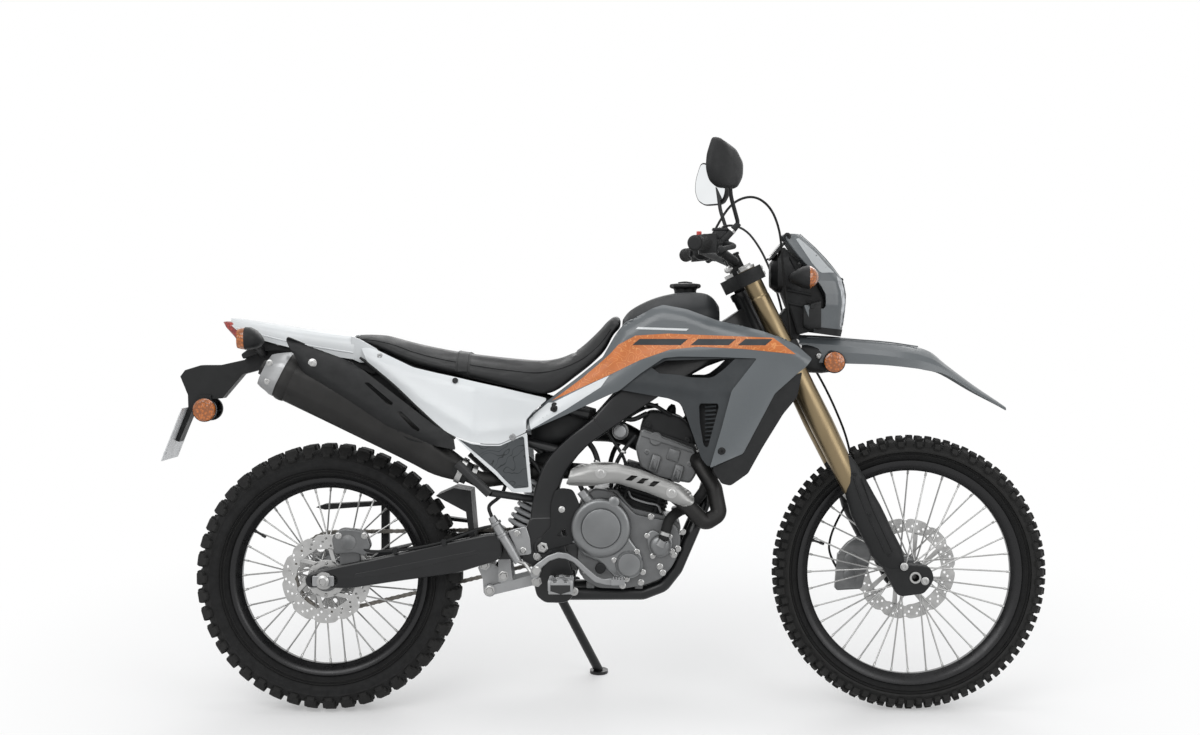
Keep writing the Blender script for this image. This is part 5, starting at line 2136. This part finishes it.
def make_rear_brake():
    shape = bmesh.new()
    caliper = [(-650, 400), (-657, 440), (-644, 458), (-630, 464), (-590, 460), (-572, 452), (-560, 420), (-575, 396),
               (-600, 404)]
    plate(shape, [rounded(caliper, 8, 4)], -112, -77, 4)
    turned(shape, [(19, 108), (19, 114), (15, 117), (2, 118)], (-616, 0, 430), TO_RIGHT, sides=32)
    plate(shape, [rounded([(-640, 355), (-640, 404), (-590, 404), (-590, 365)], 5, 3)], -88, -78, 2)
    bolts(shape, [(-640, -112, 446, TO_RIGHT), (-576, -112, 446, TO_RIGHT)], 6, 6, paint=1)
    pipe(shape, [(-262, -122, 494), (-246, -122, 466), (-216, -122, 416), (-196, -122, 382)], [9, 12, 12, 10],
         sides=22, paint=2)
    for t in (0.15, 0.4):
        spot = Vector((-262, -122, 494)).lerp(Vector((-196, -122, 382)), t)
        turned(shape, [(12, -4), (14.5, -3), (14.5, 3), (12, 4)], spot, (66, 0, -112), sides=24, paint=2)
    plate(shape, [rounded([(-224, 458), (-178, 470), (-168, 440), (-164, 400), (-200, 396), (-206, 420)], 6, 3)],
          -113, -104, 2, paint=2)
    bolts(shape, [(-199, -124, 453, TO_RIGHT), (-185, -113, 410, TO_RIGHT)], 6, 7, paint=1)
    pipe(shape, [(-262, -122, 494), (-268, -118, 520), (-240, -108, 545), (-226, -104, 580), (-220, -100, 610)], 4.5,
         sides=12, smooth=5, paint=3)
    pipe(shape, [(-250, -128, 474), (-300, -122, 462), (-380, -114, 432), (-480, -114, 412), (-560, -112, 408),
                 (-590, -104, 420)], 3.6, sides=12, smooth=6, paint=3)
    for x, z in ((-380, 430), (-500, 410)):
        plate(shape, [rounded(rectangle(x - 6, z - 8, x + 6, z + 8), 3, 2)], -119, -111, 1, paint=3)
    oval_form(shape, ((-250, -100, 608, 14, 18, 4), (-240, -100, 608, 18, 24, 4), (-205, -100, 608, 18, 24, 4),
                      (-196, -100, 608, 14, 18, 4)), 24, paint=3)
    piece("rear_brake_body", shape, "frame", [CAST_GREY, BRIGHT_STEEL, CAST_SILVER, BLACK_PLASTIC],
          ("rear_brake",), sharp=36)


def make_cooling():
    shape = bmesh.new()
    for side in (-1, 1):
        low, high = Vector((321, 0, 617)), Vector((339, 0, 850))
        run = (high - low).normalized()
        ahead = Vector((run.z, 0, -run.x))
        for height in (0, 213):
            slab(shape, low + run * height + Vector((0, side * 88, 0)), ahead, TO_LEFT,
                 rounded(rectangle(-18, -45, 18, 45), 5, 3), 20, 2, paint=1)
        for y in (45, 131):
            slab(shape, low + Vector((0, side * y, 0)), ahead, TO_LEFT, rectangle(-17, -2, 17, 2), 230, 0.3, paint=1)
        slab(shape, low + run * 18 + Vector((0, side * 88, 0)), ahead, TO_LEFT, rectangle(-9, -43, 9, 43), 198, 0.3)
        places = []
        for k in range(26):
            centre = low + run * (24 + 7.4 * k) + Vector((0, side * 88, 0)) + ahead * 12
            places.append((centre, Matrix((ahead, Vector(TO_LEFT), run)).transposed(), (1, 1, 1)))
        slat = bmesh.new()
        quads(slat, [[(-6, -43, -0.9), (6, -43, 1.6), (6, 43, 1.6), (-6, 43, -0.9)],
                     [(-6, -43, 0.6), (6, -43, 3.1), (6, 43, 3.1), (-6, 43, 0.6)]])
        repeated(shape, slat, places, 1)
        for x, z in ((314, 640), (338, 800)):
            pipe(shape, [(x, side * 10, z), (x, side * 44, z)], 7, sides=14, paint=1)
        pipe(shape, [(322, side * 132, 660), (322, side * 180, 660)], 8, sides=14, paint=1)
    piece("radiator_cores", shape, "frame", [CORE_FINS, SOFT_BLACK], ("radiators",), sharp=34)


def dress_cad_nodes():
    """Finishes for the CAD pieces that show as they are."""
    for node, paint in (("frame_cradle", FRAME_PAINT), ("subframe", FRAME_PAINT), ("linkage", CAST_SILVER),
                        ("shock", BLACK_PLASTIC), ("header_pipe", BURNT_STEEL), ("triple_clamps", SOFT_BLACK),
                        ("handlebar", SOFT_BLACK), ("plate_bracket", BLACK_PLASTIC), ("number_plate", PLATE_METAL),
                        ("rear_guards", BLACK_PLASTIC), ("foot_pegs", FRAME_PAINT), ("side_stand", FRAME_PAINT),
                        ("front_spokes", BRIGHT_STEEL), ("rear_spokes", BRIGHT_STEEL)):
        skin = cad[node].data
        skin.materials.clear()
        skin.materials.append(paint)


make_engine()
make_intake()
make_header_shield()
make_frame()
make_swingarm()
make_foot_pieces()
make_rear_brake()
make_cooling()
dress_cad_nodes()
